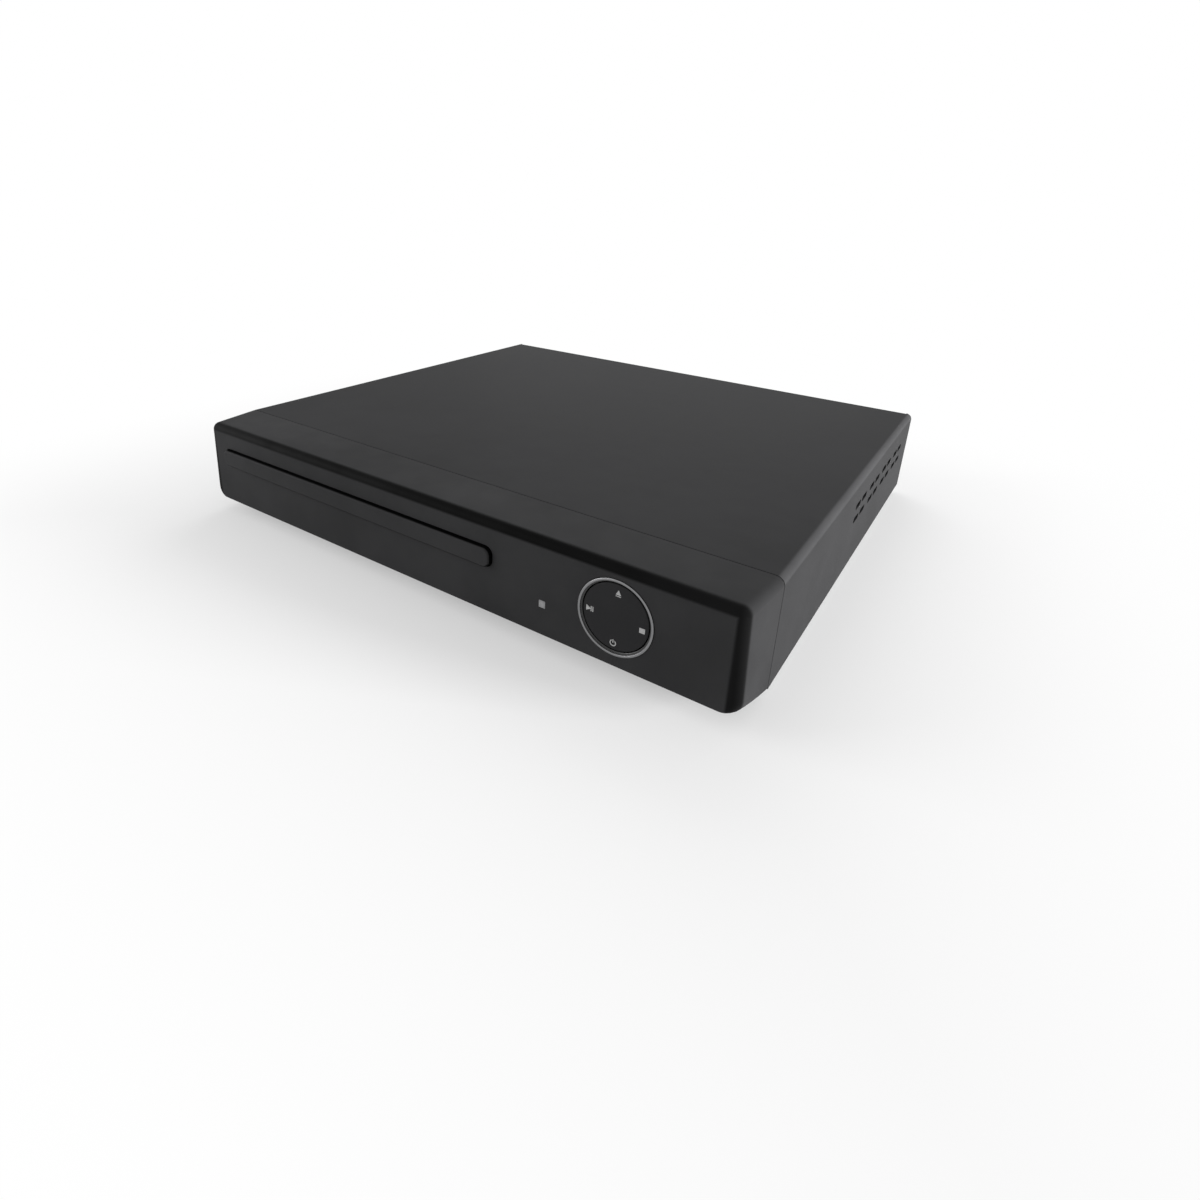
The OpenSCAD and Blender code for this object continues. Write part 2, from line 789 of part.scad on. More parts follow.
module case_screws() {
    color("#777777") place() {
        for (x = case_screw_xs) translate([x, body_d, case_screw_z]) rotate([-90, 0, 0])
            screw(screw_r, 6, screw_head_r, screw_head_h);
        for (s = [-1, 1]) translate([s * low_screw_x, panel_y + chassis_t, low_screw_z]) rotate([-90, 0, 0])
            screw(screw_r, 5, screw_head_r, screw_head_h);
    }
}

module board_screws() {
    length = board_t + 3;
    color("silver") place() {
        for (p = board_posts_down) translate([p[0], p[1], board_top])
            screw(screw_r, length, screw_head_r, screw_head_h);
        for (p = board_posts) translate([p[0], board_back_y, p[1]]) rotate([-90, 0, 0])
            screw(screw_r, length, screw_head_r, screw_head_h);
    }
}

// ---------- boards ----------

harness_x = power_left + 24;
harness_n = 5;
harness_pitch = 2.5;
harness_w = harness_n * harness_pitch;
harness_z = board_top + 4.5;
pickup_ribbon_x = tray_x + 16;
pickup_ribbon_w = 16;
pickup_header_y = main_strip + 3;
pickup_ribbon_z = board_top + 2.6;
decoder = [power_left + 25, main_front + 40];
decoder_half = 10;
decoder_t = 1.6;

// All the white connector blocks of the three boards.
module board_headers() {
    color("ivory") place() {
        block([front_header_x - 3, board_back_y, 12], [front_header_x + 3, board_back_y + header_l, 23]);
        block([power_left + 1, main_header_y, board_top],
            [power_left + 7, main_header_y + header_l, ribbon_z + 1]);
        for (y = [power_back - 7, main_front + 2]) block([harness_x - 1, y, board_top],
            [harness_x + harness_w + 1, y + 6, harness_z + 2.5]);
        block([inlet_x - 8, power_back - 7, board_top],
            [min(inlet_x + 8, power_right), power_back - 1, board_top + 8]);
        block([pickup_ribbon_x - pickup_ribbon_w / 2 - 1.5, pickup_header_y, board_top],
            [pickup_ribbon_x + pickup_ribbon_w / 2 + 1.5, pickup_header_y + header_l, pickup_ribbon_z + 1.4]);
    }
}

module main_board() {
    color("darkgreen") place() difference() {
        union() {
            block([main_left, main_strip, board_z], [main_right, main_back, board_top]);
            block([power_left, main_front, board_z], [main_right, main_strip + 1, board_top]);
        }
        for (p = main_posts) post(p[0], p[1], board_z - 1, board_top + 1, screw_hole_r);
    }
}

module power_board() {
    color("#8a6a3a") place() difference() {
        block([power_left, power_front, board_z], [power_right, power_back, board_top]);
        for (p = power_posts) post(p[0], p[1], board_z - 1, board_top + 1, screw_hole_r);
    }
}

// A flat chip, centred on a place.
module chip(x, y, w, l, h) {
    block([x - w / 2, y - l / 2, board_top], [x + w / 2, y + l / 2, board_top + h]);
}

module board_chips() {
    color("#222222") place() {
        chip(decoder[0], decoder[1], 2 * decoder_half, 2 * decoder_half, decoder_t);
        chip(decoder[0] - 1, decoder[1] - 20, 18, 10, 1.2);
        chip(decoder[0] + 17, decoder[1] - 4, 6, 8, 1.6);
        chip(hdmi_x + 30, main_strip + 8, 7, 7, 1);
        chip(decoder[0] + 6, decoder[1] + 17, 8, 6, 1.5);
        chip(power_left + 14, power_back - 24, 7, 9, 3);
    }
}

module chip_heat_sink() {
    z = board_top + decoder_t;
    color("lightgray") place() translate([decoder[0], decoder[1], z]) {
        block([-decoder_half, -decoder_half, 0], [decoder_half, decoder_half, 1.5]);
        for (i = [0:6]) translate([-decoder_half + i * (2 * decoder_half - 1) / 6, 0, 0])
            block([0, -decoder_half, 1.5 - eps], [1, decoder_half, 9]);
    }
}

// Capacitors as [x, y, radius, height].
cans = [[decoder[0] - 18, decoder[1] + 8, 3.1, 9], [decoder[0] - 18, decoder[1] + 16, 3.1, 9],
    [decoder[0] + 17, decoder[1] + 12, 2.5, 7], [hdmi_x + 13, main_strip + 19, 2.5, 7],
    [power_left + 12, power_back - 38, 4, 14], [power_left + 12, power_back - 48, 4, 14],
    [power_left + 12, power_back - 58, 4, 14], [power_right - 14, power_front + 22, 8, 21]];

module capacitors() {
    color("#20242c") place() for (c = cans) difference() {
        post(c[0], c[1], board_top, board_top + c[3], c[2]);
        for (turn = [0, 60, 120]) translate([c[0], c[1], board_top + c[3] - 0.3]) rotate(turn)
            translate([-c[2] * 0.7, -0.2, 0]) cube([c[2] * 1.4, 0.4, 1]);
    }
}

module jack_blocks() {
    color("#1c1c1c") place() difference() {
        union() {
            for (ends = [[av_x, av_x + 2 * jack_pitch], [coax_x, coax_x]])
                block([ends[0] - jack_block_half, jack_block_front, board_top],
                    [ends[1] + jack_block_half, panel_y, board_top + jack_block_h]);
        }
        jack_places() rod_y(0, panel_y - 8, panel_y + 1, 0, jack_bore_r);
    }
}

// Coloured plastic inside and round each jack's barrel.
module jack_inserts() {
    color("gold") place() jack_places() difference() {
        union() {
            rod_y(0, panel_y, jack_flange_y, 0, jack_flange_r);
            rod_y(0, panel_y + 0.5, body_d + jack_out - 0.5, 0, jack_core_r);
        }
        rod_y(0, panel_y - 1, body_d + jack_out, 0, jack_bore_r);
    }
}

module jack_barrels() {
    color("silver") place() jack_places() difference() {
        rod_y(0, jack_flange_y, body_d + jack_out, 0, jack_d / 2);
        rod_y(0, jack_flange_y - 1, body_d + jack_out + 1, 0, jack_core_r + running_gap);
    }
}

module hdmi_jack() {
    color("silver") place() translate([hdmi_x, 0, board_top]) {
        difference() {
            along_y(main_back - 9, panel_y + chassis_t + 0.6 - main_back + 9)
                polygon([[-7.5, 5.6], [7.5, 5.6], [7.5, 1.8], [5.8, 0], [-5.8, 0], [-7.5, 1.8]]);
            along_y(main_back - 7, 12)
                polygon([[-7, 5.1], [7, 5.1], [7, 2], [5.6, 0.5], [-5.6, 0.5], [-7, 2]]);
        }
        block([-5.6, main_back - 8, 2.8], [5.6, panel_y + 0.4, 3.9]);
    }
}

module inlet_outline() {
    r = inlet_h / 2 - 1.2;
    for (s = [-1, 1]) translate([s * inlet_pin_x, 0]) circle(r);
    square([2 * inlet_pin_x, 2 * r - 1.6], center = true);
}

module mains_inlet() {
    back = panel_y - inlet_depth;
    color("#161616") place() translate([inlet_x, 0, inlet_z]) difference() {
        union() {
            block([-inlet_w / 2, back, -inlet_h / 2], [inlet_w / 2, inlet_flange_y, inlet_h / 2]);
            along_y(panel_y + chassis_t, inlet_flange_y - panel_y - chassis_t)
                rounded(-inlet_w / 2 - inlet_lip, -inlet_h / 2 - inlet_lip, inlet_w / 2 + inlet_lip,
                    inlet_h / 2 + inlet_lip, 2);
        }
        along_y(inlet_flange_y - inlet_cavity, inlet_cavity + 1) inlet_outline();
        for (s = [-1, 1]) rod_y(s * inlet_pin_x, back - 1, inlet_flange_y, 0, inlet_pin_r + running_gap);
    }
}

tag_y = panel_y - inlet_depth - 4;

module inlet_pins() {
    color("#c8c8cc") place() for (s = [-1, 1])
        rod_y(inlet_x + s * inlet_pin_x, tag_y, inlet_flange_y - 3, inlet_z, inlet_pin_r);
}

module mains_leads() {
    r = 1.1;
    start = power_back - 1;
    low = floor_z + r + 0.6;
    color("#3355aa") place() for (s = [-1, 1]) {
        x = inlet_x + s * inlet_pin_x;
        lead([[x, start, board_top + 4], [x, start + 3, board_top + 4], [x, start + 12, board_top],
            [x, start + 22, low], [x, tag_y - 24, low], [x, tag_y - 10, low + 3], [x, tag_y - 5, inlet_z],
            [x, tag_y, inlet_z]], [1, 0, 0], round_section(r));
    }
}

module power_harness() {
    start = power_back - 1;
    end = main_front + 2;
    color("#b03030") place() for (i = [0:harness_n - 1]) {
        x = harness_x + (i + 0.5) * harness_pitch;
        lead([[x, start, harness_z], [x, start + 3, harness_z], [x, (start + end) / 2, harness_z + 3],
            [x, end - 3, harness_z], [x, end, harness_z]], [1, 0, 0], round_section(0.7));
    }
}

module transformer() {
    h = 17;
    core = [22, 20];
    yoke = 3.5;
    color("#c9a227") place() translate([power_right - 28, power_back - 34, board_top]) {
        difference() {
            block([-core[0] / 2, -core[1] / 2, 0], [core[0] / 2, core[1] / 2, h]);
            for (s = [-1, 1]) translate([0, s * (core[1] - 1) / 2, h / 2])
                cube([core[0] - 6, 2 * yoke, h - 2 * yoke], center = true);
        }
        translate([0, 0, yoke]) cylinder(h = h - 2 * yoke, r = 9.2);
    }
}

module power_heat_sink() {
    t = 1.6;
    long = 24;
    h = 18;
    flange = 6;
    color("lightgray") place() translate([power_right - 46, power_front + 20, board_top]) {
        cube([t, long, h]);
        for (y = [0, long - t]) translate([0, y, 0]) cube([flange, t, h]);
    }
}

module fuse() {
    z = board_top + 4;
    cap_y = 8.5;
    cap_half = 2;
    tube_r = 2.3;
    color("#d8e0e0") place() translate([power_right - 6, power_front + 42, 0]) difference() {
        union() {
            rod_y(0, cap_half - cap_y - eps, cap_y - cap_half + eps, z, tube_r);
            for (s = [-1, 1]) {
                rod_y(0, s * cap_y - cap_half, s * cap_y + cap_half, z, tube_r + 0.3);
                block([-2, s * cap_y - 1.6, board_top], [2, s * cap_y + 1.6, z]);
            }
        }
        rod_y(0, -5, 5, z, tube_r - 0.5);
    }
}

module pickup_ribbon() {
    x = pickup_ribbon_x;
    top = lift_z - 1.1;
    low = 3.2;
    color("lightgray") place() lead([[x, pivot_y - 7, top], [x, pivot_y - 1, top],
        [x, pivot_y + 3, top - 1.2], [x, pivot_y + 7.5, low + 0.8], [x, loader_end - 3, low],
        [x, loader_end + 0.5, low], [x, loader_end + 2.5, low + 2], [x, loader_end + 3.6, low + 5],
        [x, pickup_header_y - 2, pickup_ribbon_z], [x, pickup_header_y, pickup_ribbon_z]],
        [1, 0, 0], flat_section(pickup_ribbon_w, 0.4));
}

// ---------- loader ----------

loader_low = 6.5;
slot_half_w = cam_pin_r + 0.35;
track_half = track_pin_r + 0.4;
bridge_front = spindle_y - 14;
bridge_back = spindle_y + 14;
bridge_screws = [for (s = [-1, 1], y = [bridge_front + 4, bridge_back - 4])
    [s * (loader_half - loader_wall / 2), y]];
motor_shelf_t = 1.2;
tower_r = motor_r + 2;
lug_gap = 0.5;
lug_w = 7;
window_margin = lug_gap + lug_w - 0.5;
gear_post_r = 3;
loader_boss_r = 4;
hold_down_l = 8;

// Lug that holds one end of the lift frame's pivot.
module pivot_lug(x0, x1) {
    block([x0, pivot_y - 4, deck_z], [x1, pivot_y + 4, pivot_z + 4]);
}

module loader_deck() {
    in = loader_half - loader_wall + eps;
    difference() {
        block([-in, loader_front + 1, deck_z], [in, loader_end - 3, deck_top]);
        block([lift_left - window_margin, cam_y + cam_t + 1, deck_z - past],
            [lift_right + window_margin, pivot_y + 6, deck_top + past]);
        block([cam_left - cam_travel - 2, cam_y - 0.6, deck_z - 1],
            [cam_right + 2, cam_y + cam_t + 1.1, deck_top + 1]);
        post(motor_x, gear_y, deck_z - 1, deck_top + 1, tower_r - 1);
    }
}

module loader_frame() {
    rail_in = tray_w / 2 - 4;
    color("#232325") in_loader() difference() {
        union() {
            for (s = [-1, 1]) translate([s * (loader_half - loader_wall / 2), 0, 0])
                block([-loader_wall / 2, loader_front, loader_low], [loader_wall / 2, loader_end, bridge_z]);
            for (s = [-1, 1]) translate([s * (rail_in + loader_half - loader_wall) / 2, 0, 0]) {
                half = (loader_half - loader_wall - rail_in) / 2 + eps;
                block([-half, loader_front, rail_top - 1.5], [half, loader_end, rail_top]);
                for (y = [loader_front + 5, 100, loader_end - 16])
                    block([-half, y, tray_top + slide_gap], [half, y + hold_down_l, bridge_z]);
            }
            for (y = [loader_front, loader_end - loader_wall]) block([-loader_half + 1, y, loader_low],
                [loader_half - 1, y + (y > loader_front ? loader_wall : 1.5), rail_top - 0.5]);
            loader_deck();
            pivot_lug(lift_left - lug_gap - lug_w, lift_left - lug_gap);
            pivot_lug(lift_right + lug_gap, lift_right + lug_gap + lug_w);
            post(motor_x, gear_y, deck_z, motor_top + motor_shelf_t, tower_r);
            for (x = [pulley_gear_x, tray_gear_x]) post(x, gear_y, deck_z, gear_z - seat_gap, gear_post_r);
            post(pulley_gear_x, gear_y, deck_z, pulley_z + pulley_h, gear_pin_r);
            post(tray_gear_x, gear_y, deck_z, tray_floor - slide_gap, gear_pin_r);
            block([-9, cam_y - 7.5, deck_z], [-3, cam_y - 5.7, gear_z + 1]);
            block([-9, cam_y - 7.5, gear_z - 0.1], [-3, cam_y - 2, gear_z + 1]);
            for (p = loader_screw_places) post(p[0], p[1], boss_top, deck_top, loader_boss_r);
        }
        post(motor_x, gear_y, deck_z - 1, motor_top, motor_r + seat_gap);
        post(motor_x, gear_y, motor_top - 1, motor_top + motor_shelf_t + 1, 3);
        for (x = [lift_left, lift_right])
            rod_x(x - 9, x + 9, pivot_y, pivot_z, pivot_r + running_gap);
        for (p = loader_screw_places) post(p[0], p[1], boss_top - 1, deck_top + 1, screw_hole_r);
        for (p = bridge_screws) post(p[0], p[1], bridge_z - 4, bridge_z + 1, small_screw_r + running_gap);
    }
}

module loader_screws() {
    color("silver") in_loader() {
        for (p = loader_screw_places) translate([p[0], p[1], deck_top])
            screw(screw_r, deck_top - 2, screw_head_r, screw_head_h);
        for (p = bridge_screws) translate([p[0], p[1], bridge_z + bridge_t])
            screw(small_screw_r, bridge_t + 3.5, bridge_head_r, small_head_h);
    }
}

module clamp_bridge() {
    hole_r = puck_r + 0.6;
    rim_r = puck_flange_r + 1;
    color("#2f2f33") in_loader() difference() {
        union() {
            block([-loader_half, bridge_front, bridge_z], [loader_half, bridge_back, bridge_z + bridge_t]);
            post(0, spindle_y, bridge_z, bridge_z + bridge_t, rim_r + 3);
            post(0, spindle_y, bridge_z, puck_top, rim_r + 1.2);
            for (y = [bridge_front, bridge_back - 1.2]) block([-loader_half + 6, y, bridge_z],
                [loader_half - 6, y + 1.2, bridge_z + bridge_t + 1.6]);
        }
        post(0, spindle_y, bridge_z + bridge_t, puck_top + 1, rim_r);
        post(0, spindle_y, bridge_z - 1, bridge_z + bridge_t + 1, hole_r);
        for (p = bridge_screws)
            post(p[0], p[1], bridge_z - 1, bridge_z + bridge_t + 1, small_screw_r + running_gap);
    }
}

magnet_r = 8.9;
magnet_z = puck_flange_z - 0.6;

module clamp_puck() {
    cup_r = cone_r + 0.5;
    cup_z = puck_bottom + cone_h - 1.2 + 0.6;
    color("#e8e8e8") in_loader() translate([0, spindle_y, 0]) rotate_extrude()
        polygon([[0, cup_z], [cup_r, cup_z], [cup_r, puck_bottom], [puck_r, puck_bottom],
            [puck_r, puck_flange_z], [puck_flange_r, puck_flange_z], [puck_flange_r, puck_top],
            [magnet_r + seat_gap, puck_top], [magnet_r + seat_gap, magnet_z], [0, magnet_z]]);
}

module clamp_magnet() {
    color("#55585c") in_loader() translate([0, spindle_y, 0]) difference() {
        cylinder(h = magnet_z + 1.8, r = magnet_r);
        translate([0, 0, -1]) cylinder(h = magnet_z + 1, r = magnet_r + 1);
        cylinder(h = puck_top, r = 3.5);
    }
}

// Ribs under the tray that steer the cam slider's pin.
module tray_track() {
    far = track_x - cam_travel - track_half;
    y0 = cam_mid - track_half;
    y1 = cam_mid + track_half;
    block([track_x + track_half, y0 - track_wall, tray_bottom],
        [track_x + track_half + track_wall, tray_back, tray_floor + eps]);
    block([track_x - track_half - track_wall, y1, tray_bottom],
        [track_x - track_half, tray_back, tray_floor + eps]);
    block([far, y1, tray_bottom], [track_x - track_half, y1 + track_wall, tray_floor + eps]);
    block([far, y0 - track_wall, tray_bottom],
        [track_x + track_half + track_wall, y0, tray_floor + eps]);
}

module tray() {
    half = tray_w / 2;
    grip = recess_r * sin(45);
    color("#222224") in_loader() {
        difference() {
            block([-half, tray_front, tray_bottom], [half, tray_back, tray_top]);
            block([-half + tray_wall, tray_front + tray_wall, tray_bottom - past],
                [half - tray_wall, tray_back + past, tray_floor]);
            post(0, spindle_y, recess_z, tray_top + past, recess_r);
            post(0, spindle_y, inner_recess_z, tray_top + past, small_recess_r);
            for (s = [-1, 1], t = [-1, 1])
                post(s * grip, spindle_y + t * grip, inner_recess_z, tray_top + past, finger_r);
            translate([0, 0, tray_bottom]) linear_extrude(tray_top)
                slot_2d([0, spindle_y], [0, spindle_y + slot_l], slot_half);
        }
        tray_track();
        translate([rack_x, gear_y, tray_bottom]) linear_extrude(tray_floor - tray_bottom + eps)
            rack(tray_mod, rack_front, tray_travel + rack_spare, rack_back - rack_x);
    }
}

module tray_door() {
    edge = 0.6;
    color("#19191b") place() hull() {
        along_y(edge - door_proud, door_proud - edge + tray_front) door_outline(0);
        along_y(edge / 3 - door_proud, edge / 3) door_outline(-edge / 4);
        along_y(-door_proud, edge / 6) door_outline(-edge);
    }
}

// A grooved pulley for the belt.
module pulley(groove_r) {
    rim_r = groove_r + belt_t + 0.3;
    cylinder(h = 0.6, r = rim_r);
    cylinder(h = pulley_h, r = groove_r);
    translate([0, 0, pulley_h - 0.6]) cylinder(h = 0.6, r = rim_r);
}

module loading_motor() {
    color("#b9bcc0") in_loader() translate([motor_x, gear_y, 0]) difference() {
        union() {
            post(0, 0, motor_bottom, motor_top, motor_r);
            post(0, 0, motor_top - eps, motor_top + motor_shelf_t, 2.6);
        }
        post(0, 0, motor_bottom + 2, pulley_z, 1 + running_gap);
    }
}

module motor_pulley() {
    color("#d0b060") in_loader() translate([motor_x, gear_y, 0]) {
        translate([0, 0, pulley_z]) pulley(motor_belt_r - seat_gap);
        post(0, 0, motor_bottom + 3, pulley_z + eps, 1);
    }
}

// Outline of a belt stretched round a pulley at the origin and one further along +X.
module belt_outline(r1, r2, gap) {
    turn = acos((r1 - r2) / gap);
    steps = 24;
    polygon(concat([for (i = [0:steps]) at_angle(r1, turn + (360 - 2 * turn) * i / steps)],
        [for (i = [0:steps / 2]) [gap, 0] + at_angle(r2, -turn + 4 * turn * i / steps)]));
}

module drive_belt() {
    gap = pulley_gear_x - motor_x;
    color("#111111") in_loader() translate([pulley_gear_x, gear_y, pulley_z + 0.8]) rotate(180)
        linear_extrude(pulley_h - 1.6) difference() {
            belt_outline(belt_r + belt_t, motor_belt_r + belt_t, gap);
            belt_outline(belt_r, motor_belt_r, gap);
        }
}

module pulley_gear() {
    color("#f0ead8") in_loader() translate([pulley_gear_x, gear_y, 0]) difference() {
        union() {
            translate([0, 0, gear_z]) rotate(180 / pinion_teeth)
                linear_extrude(pulley_z - gear_z + eps) spur(pinion_teeth, train_mod);
            translate([0, 0, pulley_z]) pulley(belt_r - seat_gap);
        }
        post(0, 0, 0, tray_top, gear_pin_r + running_gap);
    }
}

module tray_gear() {
    color("#f0ead8") in_loader() translate([tray_gear_x, gear_y, 0]) difference() {
        union() {
            translate([0, 0, gear_z]) linear_extrude(gear_h) spur(wheel_teeth, train_mod);
            translate([0, 0, gear_z + gear_h - eps]) linear_extrude(tray_floor - slide_gap - gear_z - gear_h)
                spur(tray_teeth, tray_mod);
        }
        post(0, 0, 0, tray_top, gear_pin_r + running_gap);
    }
}

cam_pin_low = pivot_z + (cam_mid - pivot_y) * tan(lift_angle) + (cam_pin_z - pivot_z) / cos(lift_angle);

module cam_slider() {
    color("#e8e8e8") in_loader() {
        along_y(cam_y, cam_t) difference() {
            translate([cam_left, cam_bottom]) square([cam_right - cam_left, cam_top - cam_bottom]);
            for (x = cam_pins) slot_2d([x, cam_pin_low], [x + cam_travel, cam_pin_z], slot_half_w);
        }
        block([cam_left, cam_y - 4, deck_top + slide_gap], [cam_right, cam_y + eps, gear_z - 0.4]);
        block([track_x - 2, cam_y, cam_top - eps], [track_x + 2, cam_y + cam_t, rail_top - 0.2]);
        post(track_x, cam_mid, rail_top - 0.3, tray_floor - slide_gap - 0.1, track_pin_r);
    }
}

// ---------- what the lift frame carries ----------

module lift_frame() {
    bar = 6.4;
    color("#2a2a2d") on_lift() difference() {
        union() {
            difference() {
                block([lift_left, lift_front, lift_z], [lift_right, lift_back, lift_top]);
                block([lift_left + bar, lift_front + 12, lift_z - 1],
                    [lift_right - bar, lift_back - 18, lift_top + 1]);
            }
            rod_x(lift_left - 5.5, lift_left + 2, pivot_y, pivot_z, pivot_r);
            rod_x(lift_right - 2, lift_right + 5.5, pivot_y, pivot_z, pivot_r);
            for (x = cam_pins) {
                block([x - 4, lift_front, lift_z], [x + 4, lift_front + 2.4, cam_pin_z + 2]);
                rod_y(x, cam_y + 0.2, lift_front + 1, cam_pin_z, cam_pin_r);
            }
        }
        for (p = damper_places) post(p[0], p[1], lift_z - 1, lift_top + 1, small_screw_r + running_gap);
    }
}

module rubber_dampers() {
    r = small_screw_r + running_gap;
    color("#151515") on_lift() for (p = damper_places) translate([p[0], p[1], 0]) rotate_extrude()
        polygon([[r, lift_top], [damper_r, lift_top], [damper_r, traverse_z],
            [damper_neck_r, traverse_z], [damper_neck_r, traverse_top], [damper_r, traverse_top],
            [damper_r, damper_top], [r, damper_top]]);
}

module damper_screws() {
    color("silver") on_lift() for (p = damper_places) translate([p[0], p[1], damper_top])
        screw(small_screw_r, damper_top - lift_z, damper_head_r, small_head_h);
}

module rod_holder(x, y) {
    block([x - 3, y, traverse_top - eps], [x + 3, y + holder_l, rod_z + rod_r + 1]);
}

module traverse_frame() {
    color("#3a3a3e") on_lift() difference() {
        union() {
            difference() {
                block([lift_left, traverse_front, traverse_z], [lift_right, traverse_back, traverse_top]);
                block([-14, sled_y - 12, traverse_z - 1], [14, rod_back - 6, traverse_top + 1]);
                post(0, spindle_y, traverse_z - 1, traverse_top + 1, 5);
            }
            for (x = [-rod_span / 2, rod_span / 2], y = [rod_front, rod_back - holder_l]) rod_holder(x, y);
            post(sled_gear_x, sled_gear_y, traverse_top - eps, sled_gear_z + 4.4, sled_gear_pin_r);
        }
        for (x = [-rod_span / 2, rod_span / 2])
            rod_y(x, rod_front - 1, rod_back + 1, rod_z, rod_r + running_gap);
        for (p = damper_places) post(p[0], p[1], traverse_z - 1, traverse_top + 1, damper_neck_r + seat_gap);
        post(sled_gear_x, sled_motor_y, traverse_z - 1, traverse_top + 1, 2);
    }
}

rotor_z = traverse_top + 1.6;
rotor_top = seat_z - turntable_t - 0.6;
shaft_r = 1.5;

module spindle_motor() {
    color("#9a9da1") on_lift() translate([0, spindle_y, 0]) difference() {
        union() {
            post(0, 0, traverse_top, traverse_top + 1, 14);
            post(0, 0, traverse_top, rotor_top - 1.6, 3.6);
            post(0, 0, rotor_z + 0.4, rotor_top - 2.4, 9.8);
        }
        post(0, 0, traverse_top + 0.6, rotor_top, shaft_r + running_gap);
    }
}

module spindle_rotor() {
    color("#b9bcc0") on_lift() translate([0, spindle_y, 0]) {
        difference() {
            post(0, 0, rotor_z, rotor_top, rotor_r);
            post(0, 0, rotor_z - 1, rotor_top - 1, rotor_r - 1);
        }
        post(0, 0, traverse_top + 0.8, seat_z + 1.2, shaft_r);
    }
}

module turntable() {
    color("#1a1a1a") on_lift() translate([0, spindle_y, 0]) rotate_extrude()
        polygon([[shaft_r + 0.02, rotor_top], [5, rotor_top], [5, seat_z - turntable_t],
            [13, seat_z - turntable_t], [13, seat_z], [cone_r, seat_z], [cone_r, seat_z + 0.8],
            [cone_r - 1.4, seat_z + cone_h], [shaft_r + 0.02, seat_z + cone_h]]);
}

module guide_rods() {
    color("silver") on_lift() for (x = [-rod_span / 2, rod_span / 2])
        rod_y(x, rod_front, rod_back, rod_z, rod_r);
}

module pickup_sled() {
    low = traverse_top + 0.8;
    top = sled_top;
    rod_x0 = rod_span / 2;
    bearing_l = 6;
    rack_top = rod_z + 2;
    color("#5c5f63") on_lift() difference() {
        union() {
            block([-15, sled_y - sled_half, low], [15, sled_y + sled_half, top]);
            for (y = [sled_y - sled_half, sled_y + sled_half - bearing_l]) {
                rod_y(-rod_x0, y, y + bearing_l, rod_z, rod_r + 1.3);
                block([-rod_x0, y, rod_z - 1.8], [-14, y + bearing_l, rod_z + 1.8]);
            }
            block([14, sled_y - 3, low], [rod_x0 + 2.3, sled_y + 3, 19.4]);
            block([14, sled_y - 4, rack_top - 0.4], [sled_rack_x - 1.1, sled_y + 4, top]);
            translate([sled_rack_x, sled_gear_y, rod_z - 0.5]) mirror([1, 0, 0])
                linear_extrude(rack_top - rod_z + 0.5) rack(sled_mod, -sled_travel - 4, 4, 4.2);
            for (s = [-1, 1]) translate([0, sled_y + s * 7, 0]) block([-5, -1, top - eps], [5, 1, top + 2]);
        }
        rod_y(-rod_x0, sled_y - 20, sled_y + 20, rod_z, rod_r + running_gap);
        block([rod_x0 - rod_r - 0.4, sled_y - 4, rod_z - rod_r - running_gap],
            [rod_x0 + 3, sled_y + 3.5, rod_z + rod_r + running_gap]);
    }
}

module objective_lens() {
    color("#3f5f8f") on_lift() translate([0, sled_y, sled_top + 0.7]) {
        block([-4.5, -4, 0], [4.5, 4, 1.2]);
        intersection() {
            cylinder(h = 3, r = 2.2);
            translate([0, 0, -2.2]) sphere(r = 4.2);
        }
    }
}

module sled_motor() {
    color("#b9bcc0") on_lift() translate([sled_gear_x, sled_motor_y, 0]) difference() {
        union() {
            post(0, 0, traverse_z - 7, traverse_z, 8);
            post(0, 0, traverse_z - eps, traverse_top - 0.2, 1.9);
        }
        post(0, 0, traverse_z - 5, traverse_top + 1, 1 + running_gap);
    }
}

module sled_pinion() {
    color("#d0b060") on_lift() translate([sled_gear_x, sled_motor_y, 0]) {
        translate([0, 0, sled_gear_z]) linear_extrude(sled_gear_h) spur(sled_pinion_teeth, sled_mod);
        post(0, 0, traverse_z - 4, sled_gear_z + eps, 1);
    }
}

module sled_gear() {
    color("#f0ead8") on_lift() translate([sled_gear_x, sled_gear_y, 0]) difference() {
        union() {
            translate([0, 0, sled_gear_z]) rotate(180 / sled_wheel_teeth) linear_extrude(sled_gear_h)
                spur(sled_wheel_teeth, sled_mod);
            translate([0, 0, sled_gear_z + sled_gear_h - eps]) linear_extrude(2.7)
                spur(sled_teeth, sled_mod);
        }
        post(0, 0, 0, tray_top, sled_gear_pin_r + running_gap);
    }
}

front_bezel();
control_ring();
control_pad();
pad_gimbal();
status_window();
top_cover();
bottom_chassis();
rear_panel();
feet();
case_screws();
board_screws();
front_board();
push_switches();
ir_receiver();
status_led();
front_ribbon();
board_headers();
main_board();
board_chips();
chip_heat_sink();
capacitors();
jack_blocks();
jack_inserts();
jack_barrels();
hdmi_jack();
mains_inlet();
inlet_pins();
mains_leads();
power_board();
transformer();
power_heat_sink();
fuse();
power_harness();
loader_frame();
loader_screws();
clamp_bridge();
clamp_puck();
clamp_magnet();
tray();
tray_door();
loading_motor();
motor_pulley();
drive_belt();
pulley_gear();
tray_gear();
cam_slider();
lift_frame();
rubber_dampers();
damper_screws();
traverse_frame();
spindle_motor();
spindle_rotor();
turntable();
guide_rods();
pickup_sled();
objective_lens();
sled_motor();
sled_pinion();
sled_gear();
pickup_ribbon();
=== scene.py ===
"""Disc player with a tray: bezel, folded cover, ring and pad, loader, disc drive, boards and jacks."""
import json
import math

